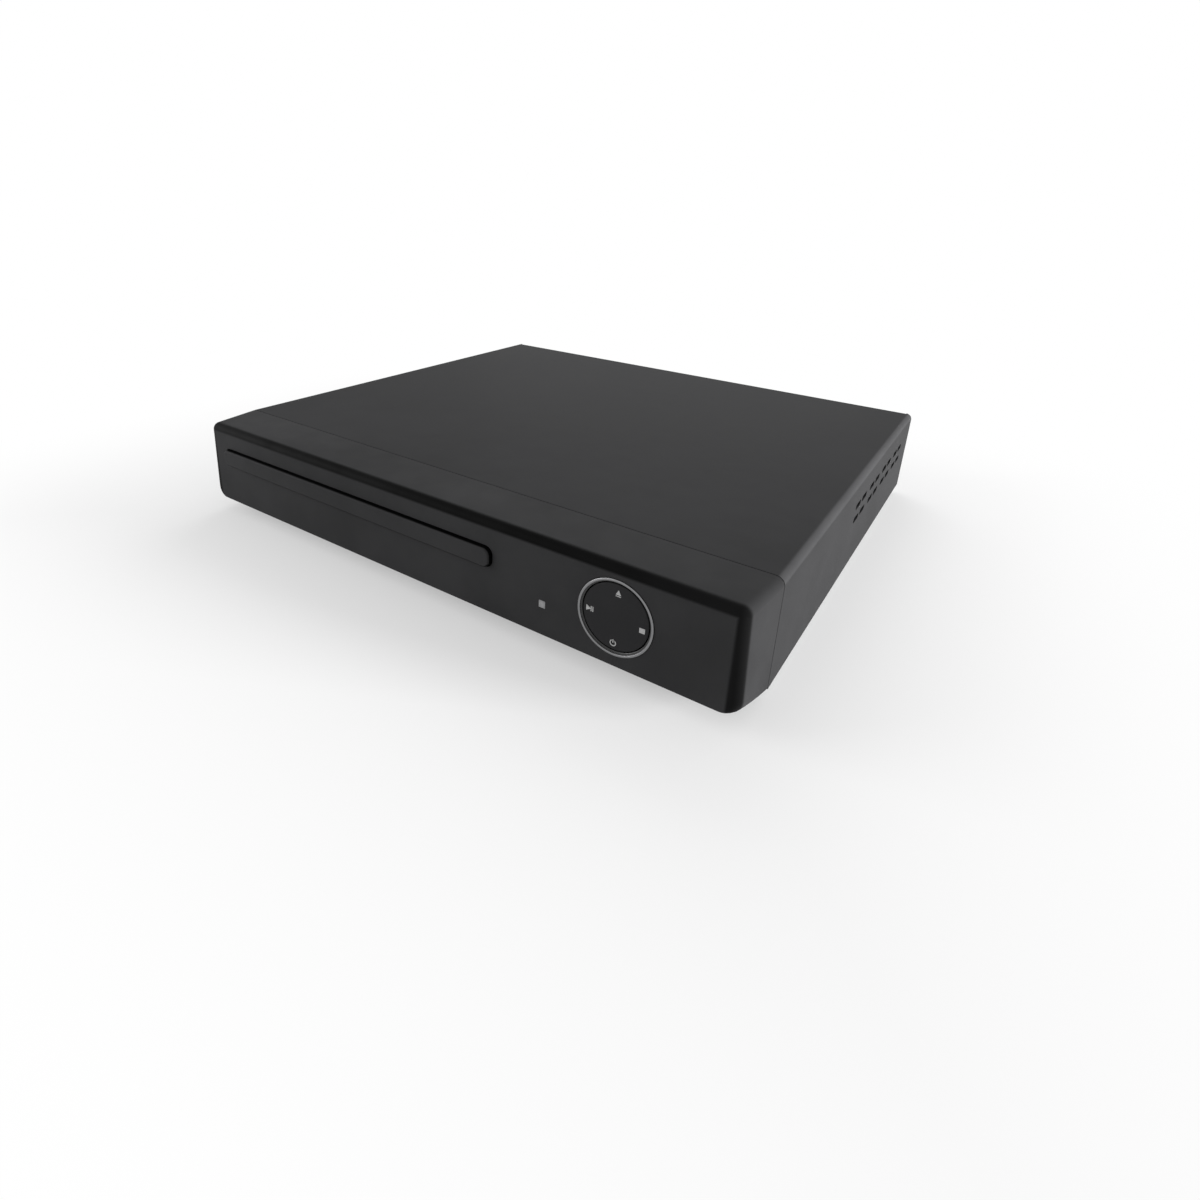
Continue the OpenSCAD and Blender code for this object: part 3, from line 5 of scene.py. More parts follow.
import bmesh
import bpy
from bpy.props import FloatProperty, FloatVectorProperty, IntProperty, PointerProperty
from mathutils import Matrix, Vector


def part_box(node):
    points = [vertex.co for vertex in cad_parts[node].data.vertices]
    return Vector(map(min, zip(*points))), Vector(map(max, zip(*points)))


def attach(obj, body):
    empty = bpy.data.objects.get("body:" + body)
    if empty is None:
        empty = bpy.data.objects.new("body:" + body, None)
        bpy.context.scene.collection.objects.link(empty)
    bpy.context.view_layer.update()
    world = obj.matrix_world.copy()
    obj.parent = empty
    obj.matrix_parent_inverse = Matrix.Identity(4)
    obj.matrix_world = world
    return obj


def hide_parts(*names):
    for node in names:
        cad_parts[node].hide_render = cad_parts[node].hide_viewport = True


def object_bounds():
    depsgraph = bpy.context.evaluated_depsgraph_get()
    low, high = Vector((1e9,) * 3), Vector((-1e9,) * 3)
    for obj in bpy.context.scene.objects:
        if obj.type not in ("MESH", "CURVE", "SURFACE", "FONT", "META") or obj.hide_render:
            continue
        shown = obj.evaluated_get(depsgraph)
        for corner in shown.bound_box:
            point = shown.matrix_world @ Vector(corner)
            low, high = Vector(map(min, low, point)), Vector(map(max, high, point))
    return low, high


bl_info = {
    "name": "Disc Player",
    "version": (1, 0, 0),
    "blender": (4, 5, 0),
    "location": "3D View > Sidebar > Disc Player",
    "description": "Models the casing, controls, jacks, finishes and studio of a tray-loading disc player",
    "category": "Object",
}

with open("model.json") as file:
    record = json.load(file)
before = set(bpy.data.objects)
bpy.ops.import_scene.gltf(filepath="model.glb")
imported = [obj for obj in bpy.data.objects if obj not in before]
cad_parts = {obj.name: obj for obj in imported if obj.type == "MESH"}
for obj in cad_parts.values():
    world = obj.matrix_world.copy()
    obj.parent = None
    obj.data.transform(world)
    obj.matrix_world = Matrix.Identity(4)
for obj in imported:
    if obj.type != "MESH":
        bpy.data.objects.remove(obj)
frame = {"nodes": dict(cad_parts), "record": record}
CAD_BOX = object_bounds()

MM = 0.001
JOINED = 0.002 * MM
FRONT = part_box("front_bezel")[0].y
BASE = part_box("bottom_chassis")[0].z
COVER_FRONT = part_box("top_cover")[0].y
SLOT_OF = {part["node"]: part["material_slot"] for part in frame["record"]["subparts"]}
MOUNTS = {mount["name"]: Vector(mount["pos_m"]) for mount in frame["record"]["mounts"]}
BACK = Vector((0, 1, 0))
UP = Vector((0, 0, 1))

# How far the ring's flange stands out, and how deep the gimbal's pins lie, in millimetres
RING_FLANGE = 1.2
GIMBAL_DEPTH = 4.9
# Radius of the door's ends as a share of its height
DOOR_ROUND = 0.36


# ---------- places and selections ----------

def at(x, y, z):
    """A point given in millimetres from the case's middle, its bezel's front and its bottom edge."""
    return Vector((x * MM, FRONT + y * MM, BASE + z * MM))


def deep(point, depth):
    """The place in line with a point, some millimetres behind the bezel's front."""
    return Vector((point.x, FRONT + depth * MM, point.z))


def centre_of(node):
    """The middle of a node's box."""
    low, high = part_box(node)
    return (low + high) / 2


def let_go():
    """Back to object mode with nothing selected."""
    if bpy.context.mode != "OBJECT":
        bpy.ops.object.mode_set(mode="OBJECT")
    bpy.ops.object.select_all(action="DESELECT")


def activate(obj):
    let_go()
    obj.select_set(True)
    bpy.context.view_layer.objects.active = obj


def open_up(obj):
    """Edit mode on one object, with all of it selected."""
    activate(obj)
    bpy.ops.object.mode_set(mode="EDIT")
    bpy.ops.mesh.select_all(action="SELECT")


def named(name):
    """Names the primitive that was just added, with its place moved into its mesh."""
    obj = bpy.context.object
    obj.name = name
    obj.data.name = name
    bpy.ops.object.transform_apply(location=True, rotation=True, scale=True)
    return obj


def middle(item):
    """The middle of an edge or face."""
    if isinstance(item, bmesh.types.BMEdge):
        return (item.verts[0].co + item.verts[1].co) / 2
    return item.calc_center_median()


def pick(obj, kind, test):
    """In edit mode, selects only the vertices, edges or faces that pass the test."""
    bpy.ops.mesh.select_mode(type=kind)
    bpy.ops.mesh.select_all(action="DESELECT")
    mesh = bmesh.from_edit_mesh(obj.data)
    items = {"VERT": mesh.verts, "EDGE": mesh.edges, "FACE": mesh.faces}[kind]
    chosen = [item for item in items if test(item)]
    for item in chosen:
        item.select_set(True)
    bmesh.update_edit_mesh(obj.data)
    if not chosen:
        raise RuntimeError(f"{obj.name}: no {kind.lower()} passes the test")


def runs_along(edge, axis):
    """True for an edge that runs mostly along an axis."""
    step = edge.verts[1].co - edge.verts[0].co
    return abs(step[axis]) > 0.7 * step.length


def apply_modifier(obj, kind, **settings):
    activate(obj)
    modifier = obj.modifiers.new(kind.lower(), kind)
    for name, value in settings.items():
        setattr(modifier, name, value)
    bpy.ops.object.modifier_apply(modifier=modifier.name)


def merge(obj, other, operation):
    """Cuts other out of obj, or joins it on, and deletes other."""
    apply_modifier(obj, "BOOLEAN", object=other, operation=operation, solver="EXACT")
    bpy.data.objects.remove(other, do_unlink=True)


def soften(obj, width, angle=35, segments=2):
    """Breaks the sharp edges by a width in millimetres and shades the rest smooth."""
    apply_modifier(obj, "BEVEL", width=width * MM, segments=segments, limit_method="ANGLE",
                   angle_limit=math.radians(angle), harden_normals=False)
    open_up(obj)
    bpy.ops.mesh.dissolve_degenerate(threshold=JOINED)
    smooth(obj)


def smooth(obj, angle=32):
    """Shades all but the sharp edges smooth, with the flat faces kept flat."""
    activate(obj)
    bpy.ops.object.shade_smooth_by_angle(angle=math.radians(angle))
    apply_modifier(obj, "WEIGHTED_NORMAL", keep_sharp=True)


def copies(obj, steps):
    """A separate copy of obj, with its own mesh, for each step."""
    made = []
    for i, step in enumerate(steps):
        new = bpy.data.objects.new(f"{obj.name}_{i + 1}", obj.data.copy())
        bpy.context.scene.collection.objects.link(new)
        new.data.transform(Matrix.Translation(step))
        made.append(new)
    return made


def joined(objs, name):
    """One object out of several."""
    let_go()
    for obj in objs:
        obj.select_set(True)
    bpy.context.view_layer.objects.active = objs[0]
    bpy.ops.object.join()
    objs[0].name = name
    return objs[0]


# ---------- starting shapes ----------

def block(name, low, high):
    """A box between two corners."""
    let_go()
    bpy.ops.mesh.primitive_cube_add(size=1, location=(low + high) / 2)
    bpy.context.object.scale = high - low
    return named(name)


def rounded_block(name, low, high, radius, axis, segments=8):
    """A box whose four edges along an axis are round."""
    obj = block(name, low, high)
    open_up(obj)
    pick(obj, "EDGE", lambda edge: runs_along(edge, axis))
    bpy.ops.mesh.bevel(offset=radius, segments=segments, affect="EDGES")
    let_go()
    return obj


def cylinder(name, low, high, radius, sides=48):
    """A round bar between two points, with its radius in millimetres."""
    let_go()
    bar = high - low
    bpy.ops.mesh.primitive_cylinder_add(vertices=sides, radius=radius * MM, depth=bar.length,
                                        location=(low + high) / 2,
                                        rotation=bar.to_track_quat("Z", "Y").to_euler())
    return named(name)


def turned(name, profile, centre, out=BACK, steps=64):
    """Turns a profile of (radius, way out), in millimetres, about the direction out through a centre."""
    let_go()
    side = out.orthogonal().normalized()
    bpy.ops.mesh.primitive_plane_add(size=1, location=centre)
    obj = named(name)
    open_up(obj)
    bpy.ops.mesh.select_mode(type="VERT")
    bpy.ops.mesh.merge(type="CENTER")
    places = [centre + (side * radius + out * way) * MM for radius, way in profile]
    bpy.ops.transform.translate(value=places[0] - centre)
    for a, b in zip(places, places[1:]):
        bpy.ops.mesh.extrude_region_move(TRANSFORM_OT_translate={"value": b - a})
    bpy.ops.mesh.select_all(action="SELECT")
    bpy.ops.mesh.spin(steps=steps, angle=math.tau, center=centre, axis=out)
    open_up(obj)
    bpy.ops.mesh.remove_doubles(threshold=JOINED)
    bpy.ops.mesh.normals_make_consistent(inside=False)
    let_go()
    return obj


def merged_copy(node, name):
    """A clean copy of a CAD node: corners joined and flat stretches made single faces."""
    obj = bpy.data.objects.new(name, frame["nodes"][node].data.copy())
    obj.data.name = name
    bpy.context.scene.collection.objects.link(obj)
    open_up(obj)
    bpy.ops.mesh.customdata_custom_splitnormals_clear()
    bpy.ops.mesh.remove_doubles(threshold=JOINED)
    bpy.ops.mesh.dissolve_limited(angle_limit=math.radians(0.5))
    let_go()
    return obj


def finished(obj, body, node, material=None):
    """Sets a piece's material and the body it rides on, and hides the CAD node that it stands for."""
    let_go()
    obj.data.materials.clear()
    obj.data.materials.append(material or finish(SLOT_OF[node]))
    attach(obj, body)
    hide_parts(node)


def soft_copy(node, name, edge, angle=40, body="case"):
    """Replaces a CAD node by a copy whose edges are broken by a width in millimetres."""
    obj = merged_copy(node, name)
    soften(obj, edge, angle)
    finished(obj, body, node)


# ---------- shader maths ----------

def maths_method(operation, reflected=False):
    """A method that adds a Math node, with the wire as its first value, or as its last if reflected."""
    def method(wire, *others):
        values = (*others, wire) if reflected else (wire, *others)
        return wire.nodes.maths(operation, *values)
    return method


class Wire:
    """A socket's output; arithmetic on it adds Math nodes."""

    def __init__(self, nodes, socket):
        self.nodes = nodes
        self.socket = socket

    __add__ = __radd__ = maths_method("ADD")
    __sub__ = maths_method("SUBTRACT")
    __rsub__ = maths_method("SUBTRACT", reflected=True)
    __mul__ = __rmul__ = maths_method("MULTIPLY")
    __mod__ = maths_method("MODULO")
    __abs__ = maths_method("ABSOLUTE")
    __gt__ = maths_method("GREATER_THAN")
    __lt__ = maths_method("LESS_THAN")


class Nodes:
    """A node tree that expressions add to."""

    def __init__(self, tree):
        self.tree = tree

    def node(self, kind, settings=None, sockets=None, output=0):
        """Adds a node: first its settings, then the values or links of its sockets."""
        made = self.tree.nodes.new(kind)
        for name, value in (settings or {}).items():
            setattr(made, name, value)
        for name, value in (sockets or {}).items():
            self.feed(made.inputs[name], value)
        return Wire(self, made.outputs[output])

    def feed(self, socket, value):
        if isinstance(value, Wire):
            self.tree.links.new(value.socket, socket)
        else:
            socket.default_value = value

    def maths(self, operation, *values):
        return self.node("ShaderNodeMath", {"operation": operation}, dict(enumerate(values)))

    def most(self, *values):
        """The highest of some values."""
        highest = values[0]
        for value in values[1:]:
            highest = self.maths("MAXIMUM", highest, value)
        return highest


class Sheet(Nodes):
    """A material's node tree, with the roughness and metal that its surface starts from."""

    def __init__(self, name, roughness=0.5, metallic=0.0):
        self.material = bpy.data.materials.new(name)
        self.material.use_nodes = True
        super().__init__(self.material.node_tree)
        self.shader = self.tree.nodes["Principled BSDF"]
        self.set("Roughness", roughness)
        self.set("Metallic", metallic)

    def set(self, name, value):
        self.feed(self.shader.inputs[name], value)

    def colour(self):
        """The colour that is wired up so far."""
        return Wire(self, self.shader.inputs["Base Color"].links[0].from_socket)

    def place(self):
        """Where a point is, in metres in the model's frame."""
        return self.node("ShaderNodeTexCoord", output="Object")

    def axes(self, output="Object"):
        """The three numbers of a point's place, or of its surface's Normal."""
        vector = self.node("ShaderNodeTexCoord", output=output)
        split = self.node("ShaderNodeSeparateXYZ", sockets={0: vector}).socket.node
        return [Wire(self, split.outputs[i]) for i in range(3)]

    def away(self, point, *across):
        """Distance from a line through a point, measured along the two axes across it."""
        place = self.axes()
        a, b = [place[axis] - point[axis] for axis in across]
        return self.maths("SQRT", a * a + b * b)

    def noise(self, size, detail=2.0, stretch=None):
        """Noise with grains of a size in millimetres, drawn out along the axes by stretch."""
        place = self.place()
        if stretch:
            place = self.node("ShaderNodeMapping", sockets={"Vector": place, "Scale": stretch})
        sockets = {"Vector": place, "Scale": 1 / (size * MM), "Detail": detail}
        return self.node("ShaderNodeTexNoise", sockets=sockets)

    def cells(self, size, output, randomness=1.0):
        """Cells of a size in millimetres."""
        sockets = {"Vector": self.place(), "Scale": 1 / (size * MM), "Randomness": randomness}
        return self.node("ShaderNodeTexVoronoi", sockets=sockets, output=output)

    def ramp(self, value, start, end, low=0.0, high=1.0):
        """Runs smoothly from low to high as value goes from start to end."""
        return self.node("ShaderNodeMapRange", {"interpolation_type": "SMOOTHSTEP"},
                         {"Value": value, "From Min": start, "From Max": end, "To Min": low, "To Max": high})

    def mix(self, factor, a, b):
        """Colour a where factor is 0 and b where it is 1."""
        a, b = [(*colour, 1.0) if isinstance(colour, tuple) else colour for colour in (a, b)]
        return self.node("ShaderNodeMix", {"data_type": "RGBA"}, {0: factor, 6: a, 7: b}, output=2)

    def paint(self, factor, a, b):
        """Colours the surface a where factor is 0 and b where it is 1."""
        self.set("Base Color", self.mix(factor, a, b))

    def bump(self, height, depth):
        """Raises the surface by height, where 1 is depth millimetres."""
        sockets = {"Height": height, "Distance": depth * MM, "Strength": 1.0}
        self.set("Normal", self.node("ShaderNodeBump", sockets=sockets))


def shade(colour, factor):
    return tuple(min(channel * factor, 1.0) for channel in colour)


def hue(name):
    """One of the colours that the panel shows."""
    return tuple(getattr(bpy.context.scene.player_colours, name))


# ---------- finishes ----------

def moulded(name, colour, roughness=0.45, grain=0.35, depth=0.012):
    """Moulded plastic with a fine spark-eroded grain and faint flow marks."""
    sheet = Sheet(name)
    cloud = sheet.ramp(sheet.noise(28, 3.0), 0.3, 0.7)
    sheet.paint(cloud, shade(colour, 0.9), shade(colour, 1.12))
    sheet.set("Roughness", sheet.ramp(sheet.noise(9), 0.25, 0.75, roughness - 0.03, roughness + 0.03))
    sheet.bump(sheet.noise(grain), depth)
    return sheet


def front_black(name):
    """The satin black of the bezel and the door."""
    sheet = moulded(name, hue("bezel"), 0.55)
    sheet.set("Specular IOR Level", 0.03)
    return sheet


def bezel_finish(name):
    """Satin black moulding with painted shade on its rounded front edges, which stands for their dark
    reflection.
    """
    sheet = front_black(name)
    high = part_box("front_bezel")[1]
    x, y, z = sheet.axes()
    near_front = sheet.ramp(y, FRONT + 3.4 * MM, FRONT + 1.6 * MM)
    near_top = sheet.ramp(z, high.z - 3.7 * MM, high.z - 2.6 * MM)
    near_side = sheet.ramp(abs(x), high.x - 5.3 * MM, high.x - 4.2 * MM)
    # Painted shade: the rounded front edges are painted near black for a dark reflection, a little less
    # towards the ends and in patches.
    edge = near_front * sheet.most(near_top, near_side)
    patchy = sheet.ramp(sheet.noise(14), 0.3, 0.7, 0.93, 1.0)
    edge_shade_fade = sheet.ramp(abs(x), high.x * 0.5, high.x, 1.0, 0.86) * patchy
    sheet.paint(edge * edge_shade_fade, sheet.colour(), hue("bezel_edge"))
    return sheet


def door_finish(name):
    """The bezel's satin black, with painted shade on the door's sides and underside, as dark as the painted
    shade on the bezel's edges.
    """
    sheet = front_black(name)
    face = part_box("tray_door")[0].y
    # Painted shade: the door's sides, behind its face, and its underside are painted dark where shadow
    # falls.
    behind = sheet.ramp(sheet.axes()[1], face + 0.3 * MM, face + 0.8 * MM)
    underside_shade = sheet.ramp(sheet.axes("Normal")[2], -0.1, -0.5)
    sheet.paint(sheet.most(behind, underside_shade), sheet.colour(), hue("bezel_edge"))
    return sheet


def cover_finish(name):
    """Satin black paint on sheet steel: a fine orange peel, a faint mottle, and a painted highlight that
    makes the bends paler.
    """
    colour = hue("cover")
    sheet = Sheet(name)
    sheet.set("Specular IOR Level", 0.02)
    mottle = sheet.noise(55, 3.0) * 0.75 + sheet.noise(9) * 0.25
    plain = sheet.mix(sheet.ramp(mottle, 0.3, 0.7), shade(colour, 0.82), shade(colour, 1.16))
    across, _, up = sheet.axes("Normal")
    # Painted highlight: the bends between the top and the sides are painted paler, more so where the mottle
    # is lighter.
    bend_highlight = sheet.ramp(abs(across), 0.12, 0.45) * sheet.ramp(up, 0.05, 0.35)
    sheet.paint(bend_highlight * sheet.ramp(mottle, 0.2, 0.8, 0.5, 1.0), plain, shade(colour, 1.9))
    sheet.set("Roughness", sheet.ramp(mottle, 0.3, 0.7, 0.52, 0.62))
    sheet.bump(sheet.noise(0.5) * 0.6 + sheet.noise(2.2), 0.018)
    return sheet


def zinc_finish(name):
    """Zinc-plated sheet with a crystal spangle and faint rolling marks."""
    sheet = Sheet(name, metallic=1.0)
    tone = sheet.node("ShaderNodeSeparateColor", sockets={0: sheet.cells(2.5, "Color")})
    sheet.paint(tone, (0.5, 0.51, 0.52), (0.56, 0.57, 0.58))
    sheet.set("Roughness", tone * 0.08 + 0.32)
    sheet.bump(sheet.noise(1.2, 2.0, (1.0, 0.03, 1.0)), 0.006)
    return sheet


def metal(name, colour, roughness, stretch=None, grain=0.4, depth=0.004):
    """Bare metal whose grain is drawn out where it was rolled, turned or brushed."""
    sheet = Sheet(name, metallic=1.0)
    grainy = sheet.noise(grain, 3.0, stretch)
    sheet.paint(sheet.noise(6), shade(colour, 0.9), shade(colour, 1.08))
    sheet.set("Roughness", sheet.ramp(grainy, 0.3, 0.7, roughness * 0.8, roughness * 1.25))
    sheet.bump(grainy, depth)
    return sheet


def ring_finish(name):
    """Satin silver bead with fine turning marks, over a black inner land."""
    sheet = Sheet(name)
    low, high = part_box("control_ring")
    bead = (high.x - low.x) / 2 - RING_FLANGE * MM - bpy.context.scene.player_controls.bead
    radius = sheet.away((low + high) / 2, 0, 2)
    bright = sheet.ramp(radius, bead - 0.06 * MM, bead)
    sheet.paint(bright, (0.02, 0.02, 0.02), hue("ring"))
    sheet.set("Metallic", bright)
    line_pitch = 0.09 * MM
    lines = sheet.maths("SINE", radius * (math.tau / line_pitch))
    sheet.set("Roughness", sheet.ramp(sheet.noise(2), 0.3, 0.7, 0.28, 0.42))
    sheet.bump(lines * 0.5 + sheet.noise(0.5), 0.003)
    return sheet


def pad_finish(name):
    """Smooth black moulding, a little glossier than the bezel."""
    sheet = moulded(name, hue("pad"), 0.36, 0.3, 0.003)
    sheet.set("Specular IOR Level", 0.08)
    return sheet


def window_finish(name):
    """Frosted grey resin, paler at its middle where the light guide stands."""
    sheet = Sheet(name, 0.55)
    tone = sheet.ramp(sheet.away(centre_of("status_window"), 0, 2), 1.6 * MM, 0.3 * MM)
    sheet.paint(tone, (0.2, 0.2, 0.205), (0.27, 0.27, 0.275))
    sheet.bump(sheet.noise(0.2), 0.006)
    return sheet


def speckled(name, roughness, tones, cloud, grain, depth):
    """A plain surface that wanders between two tones, with cloud and grain as settings of noise."""
    sheet = Sheet(name, roughness)
    sheet.paint(sheet.noise(*cloud), *tones)
    sheet.bump(sheet.noise(*grain), depth)
    return sheet


def ink_finish(name):
    """Pale printing ink, slightly uneven."""
    ink = hue("marks")
    return speckled(name, 0.6, (shade(ink, 0.85), shade(ink, 1.1)), (0.25,), (0.15,), 0.004)


def sleeve(name, colour):
    """Extruded wire sleeve."""
    tones = (shade(colour, 0.8), shade(colour, 1.2))
    return speckled(name, 0.45, tones, (4,), (0.4, 2.0, (1.0, 0.1, 1.0)), 0.008)


def board(name, colour, trace, pitch):
    """Circuit board: solder resist over fine tracks, with plated holes."""
    sheet = Sheet(name, 0.38)
    routes = sheet.node("ShaderNodeTexBrick", {"offset": 0.5, "squash": 0.6, "squash_frequency": 3}, {
        "Vector": sheet.place(), "Scale": 1.0, "Mortar Size": pitch * 0.13, "Mortar Smooth": 0.2,
        "Brick Width": pitch * 9, "Row Height": pitch}, output="Fac")
    holes = sheet.ramp(sheet.cells(4.2, "Distance", 0.8), 0.15, 0.1)
    sheet.paint(holes, sheet.mix(routes, colour, trace), (0.55, 0.53, 0.48))
    sheet.set("Metallic", holes * 0.9)
    sheet.bump(routes * 0.6 + holes, 0.02)
    return sheet


def can_finish(name):
    """Shrunk dark sleeve on a can whose bare end is aluminium."""
    sheet = Sheet(name, 0.35)
    top = sheet.axes("Normal")[2] > 0.9
    sheet.paint(top, (0.02, 0.025, 0.05), (0.7, 0.7, 0.71))
    sheet.set("Metallic", top)
    sheet.bump(sheet.noise(0.8), 0.01)
    return sheet


def ribbon_finish(name):
    """Pale flat cable; its conductors are spaced along X, or along Z on a face that looks sideways."""
    sheet = Sheet(name, 0.42)
    x, _, z = sheet.axes()
    flat = abs(sheet.axes("Normal")[0]) < 0.25
    pitch = 1.0 * MM
    step = (x * flat + z * (1 - flat) + 1.0) % pitch
    stripe = sheet.ramp(abs(step - pitch / 2), pitch * 0.32, pitch * 0.2)
    sheet.paint(stripe, (0.78, 0.78, 0.76), (0.5, 0.47, 0.42))
    sheet.bump(stripe, 0.02)
    return sheet


def winding_finish(name):
    """Transformer: dark ferrite core round a coil wrapped in yellow tape."""
    centre = centre_of("transformer")
    coil_radius, coil_half, tape_width = 9.35 * MM, 5.1 * MM, 2.4 * MM
    sheet = Sheet(name)
    z = sheet.axes()[2]
    inside = (sheet.away(centre, 0, 1) < coil_radius) * (abs(z - centre.z) < coil_half)
    wraps = sheet.ramp(abs((z % tape_width) - tape_width / 2), 0.9 * MM, tape_width / 2)
    tape = sheet.mix(wraps, (0.72, 0.52, 0.07), (0.4, 0.27, 0.04))
    sheet.paint(inside, (0.05, 0.05, 0.052), tape)
    sheet.set("Roughness", sheet.ramp(inside, 0.0, 1.0, 0.7, 0.35))
    sheet.bump(wraps * inside + sheet.noise(0.5), 0.02)
    return sheet


def lens_finish(name):
    """Coated lens, with a painted reflection that makes it a lighter blue where it faces up."""
    sheet = Sheet(name, 0.06)
    sheet.set("Coat Weight", 0.6)
    # Painted reflection: the lens is painted a lighter blue where it faces up.
    sheet.paint(sheet.axes("Normal")[2], (0.03, 0.05, 0.12), (0.16, 0.26, 0.5))
    sheet.bump(sheet.noise(2), 0.001)
    return sheet


def fuse_finish(name):
    """Clear glass tube between plated end caps."""
    low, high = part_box("fuse")
    half = (high.y - low.y) / 2
    sheet = Sheet(name, 0.12)
    cap = sheet.ramp(abs(sheet.axes()[1] - (low.y + high.y) / 2), half - 4.3 * MM, half - 4.1 * MM)
    sheet.paint(cap, (0.82, 0.88, 0.88), (0.72, 0.7, 0.66))
    sheet.set("Metallic", cap)
    sheet.set("Alpha", cap * 0.65 + 0.35)
    sheet.bump(sheet.noise(1), 0.002)
    return sheet


# Each slot's function, with what it is given after the material's name
FINISHES = {
    "bezel_plastic": (bezel_finish,),
    "door_plastic": (door_finish,),
    "cover_paint": (cover_finish,),
    "zinc_steel": (zinc_finish,),
    "ring_metal": (ring_finish,),
    "pad_plastic": (pad_finish,),
    "window_plastic": (window_finish,),
    "tray_plastic": (moulded, (0.03, 0.03, 0.032), 0.5, 0.5, 0.02),
    "loader_plastic": (moulded, (0.04, 0.04, 0.043), 0.5),
    "white_plastic": (moulded, (0.78, 0.77, 0.72), 0.4, 0.6, 0.006),
    "jack_black": (moulded, (0.025, 0.025, 0.026), 0.4, 0.4),
    "header_ivory": (moulded, (0.76, 0.72, 0.6), 0.45, 0.5, 0.006),
    "magnet": (moulded, (0.1, 0.1, 0.105), 0.62, 0.4, 0.02),
    "steel": (metal, (0.6, 0.6, 0.61), 0.22, (1.0, 0.04, 1.0)),
    "black_screw": (metal, (0.09, 0.09, 0.1), 0.42),
    "brass": (metal, (0.78, 0.58, 0.24), 0.24),
    "motor_can": (metal, (0.55, 0.56, 0.58), 0.3, (1.0, 1.0, 0.05)),
    "sink_aluminium": (metal, (0.72, 0.72, 0.73), 0.38, (1.0, 1.0, 0.06)),
    "nickel": (metal, (0.7, 0.68, 0.64), 0.16, None, 0.8, 0.002),
    "die_cast": (metal, (0.36, 0.37, 0.38), 0.46, None, 0.7, 0.03),
    "board_green": (board, (0.02, 0.13, 0.05), (0.028, 0.18, 0.07), 1.6 * MM),
    "board_tan": (board, (0.42, 0.27, 0.12), (0.44, 0.29, 0.135), 3.0 * MM),
    "rubber_black": (speckled, 0.8, ((0.014, 0.014, 0.014), (0.03, 0.03, 0.029)), (3, 4.0), (0.3, 3.0),
                     0.02),
    "chip_black": (speckled, 0.6, ((0.022, 0.022, 0.023), (0.045, 0.045, 0.045)), (0.3,), (0.18,), 0.01),
    "led_red": (speckled, 0.15, ((0.45, 0.02, 0.015), (0.65, 0.04, 0.03)), (1,), (0.6,), 0.003),
    "lead_blue": (sleeve, (0.05, 0.12, 0.4)),
    "lead_red": (sleeve, (0.45, 0.04, 0.03)),
    "can_sleeve": (can_finish,),
    "ribbon": (ribbon_finish,),
    "winding": (winding_finish,),
    "lens_glass": (lens_finish,),
    "fuse_glass": (fuse_finish,),
}


def finish(slot):
    """The material of a slot, made the first time that it is asked for."""
    name = slot + "_finish"
    make, *settings = FINISHES[slot]
    return bpy.data.materials.get(name) or make(name, *settings).material


# ---------- sizes and colours ----------

def millimetres(name, description, size):
    """A length that a user can change, with its default in millimetres."""
    return FloatProperty(name=name, description=description, default=size * MM, unit="LENGTH")


def degrees(name, description, turn):
    """An angle that a user can change, with its default in degrees."""
    return FloatProperty(name=name, description=description, default=math.radians(turn), subtype="ANGLE")


def tint(name, description, colour):
    """A colour that a user can change."""
    return FloatVectorProperty(name=name, description=description, default=colour, subtype="COLOR",
                               min=0, max=1)


class CaseSizes(bpy.types.PropertyGroup):
    """Sizes of the bezel, the door and the cover."""
    wall: millimetres("Wall", "Thickness of the bezel's wall", 2.2)
    top_radius: millimetres("Top Corner", "Radius of the bezel's top corners", 2.6)
    low_radius: millimetres("Bottom Corner", "Radius of the front's bottom corners", 5.2)
    front_round: millimetres("Front Rounding", "Rounding round the bezel's front face", 2.6)
    low_round: millimetres("Bottom Rounding", "Rounding of the front face's bottom edge", 0.65)
    side_taper: millimetres("Side Taper", "How far each side draws in towards the front", 2.4)
    flare: millimetres("Flare", "How much further out the foot of each side is at the front", 1.4)
    top_drop: millimetres("Top Drop", "How far the top drops towards the front", 0.6)
    bottom_rise: millimetres("Bottom Rise", "How far the bottom rises towards the front", 2.8)
    seam: millimetres("Seam", "Gap between the bezel and the cover", 0.3)
    door_gap: millimetres("Door Gap", "Gap round the tray's door", 0.5)
    sheet: millimetres("Sheet", "Thickness of the cover's sheet metal", 0.7)
    lip: millimetres("Back Lip", "Height of the lip at the cover's back", 8)


class ControlSizes(bpy.types.PropertyGroup):
    """Sizes of the ring, the pad and its marks."""
    bead: millimetres("Bead", "Width of the ring's bright bead", 0.75)
    mark: millimetres("Mark", "Size of a mark on the pad", 2.0)
    mark_reach: millimetres("Mark Reach", "Distance of the marks from the pad's middle", 7.9)
    turns: IntProperty(name="Round Steps", description="Steps round the ring and the pad", default=96)


class Colours(bpy.types.PropertyGroup):
    """Colours of the finishes that show most."""
    bezel: tint("Bezel", "Satin black of the bezel and the door", (0.032, 0.032, 0.033))
    # Painted shade: the near black painted on the bezel's rounded edges and on the door's sides and
    # underside.
    bezel_edge: tint("Bezel Edge", "Darker black of the bezel's rounded edges", (0.0015, 0.0015, 0.0015))
    cover: tint("Cover", "Paint of the cover", (0.033, 0.033, 0.034))
    ring: tint("Ring", "Silver of the ring", (0.22, 0.22, 0.225))
    pad: tint("Pad", "Black of the pad", (0.02, 0.02, 0.021))
    marks: tint("Marks", "Pale grey of the marks", (0.37, 0.37, 0.37))


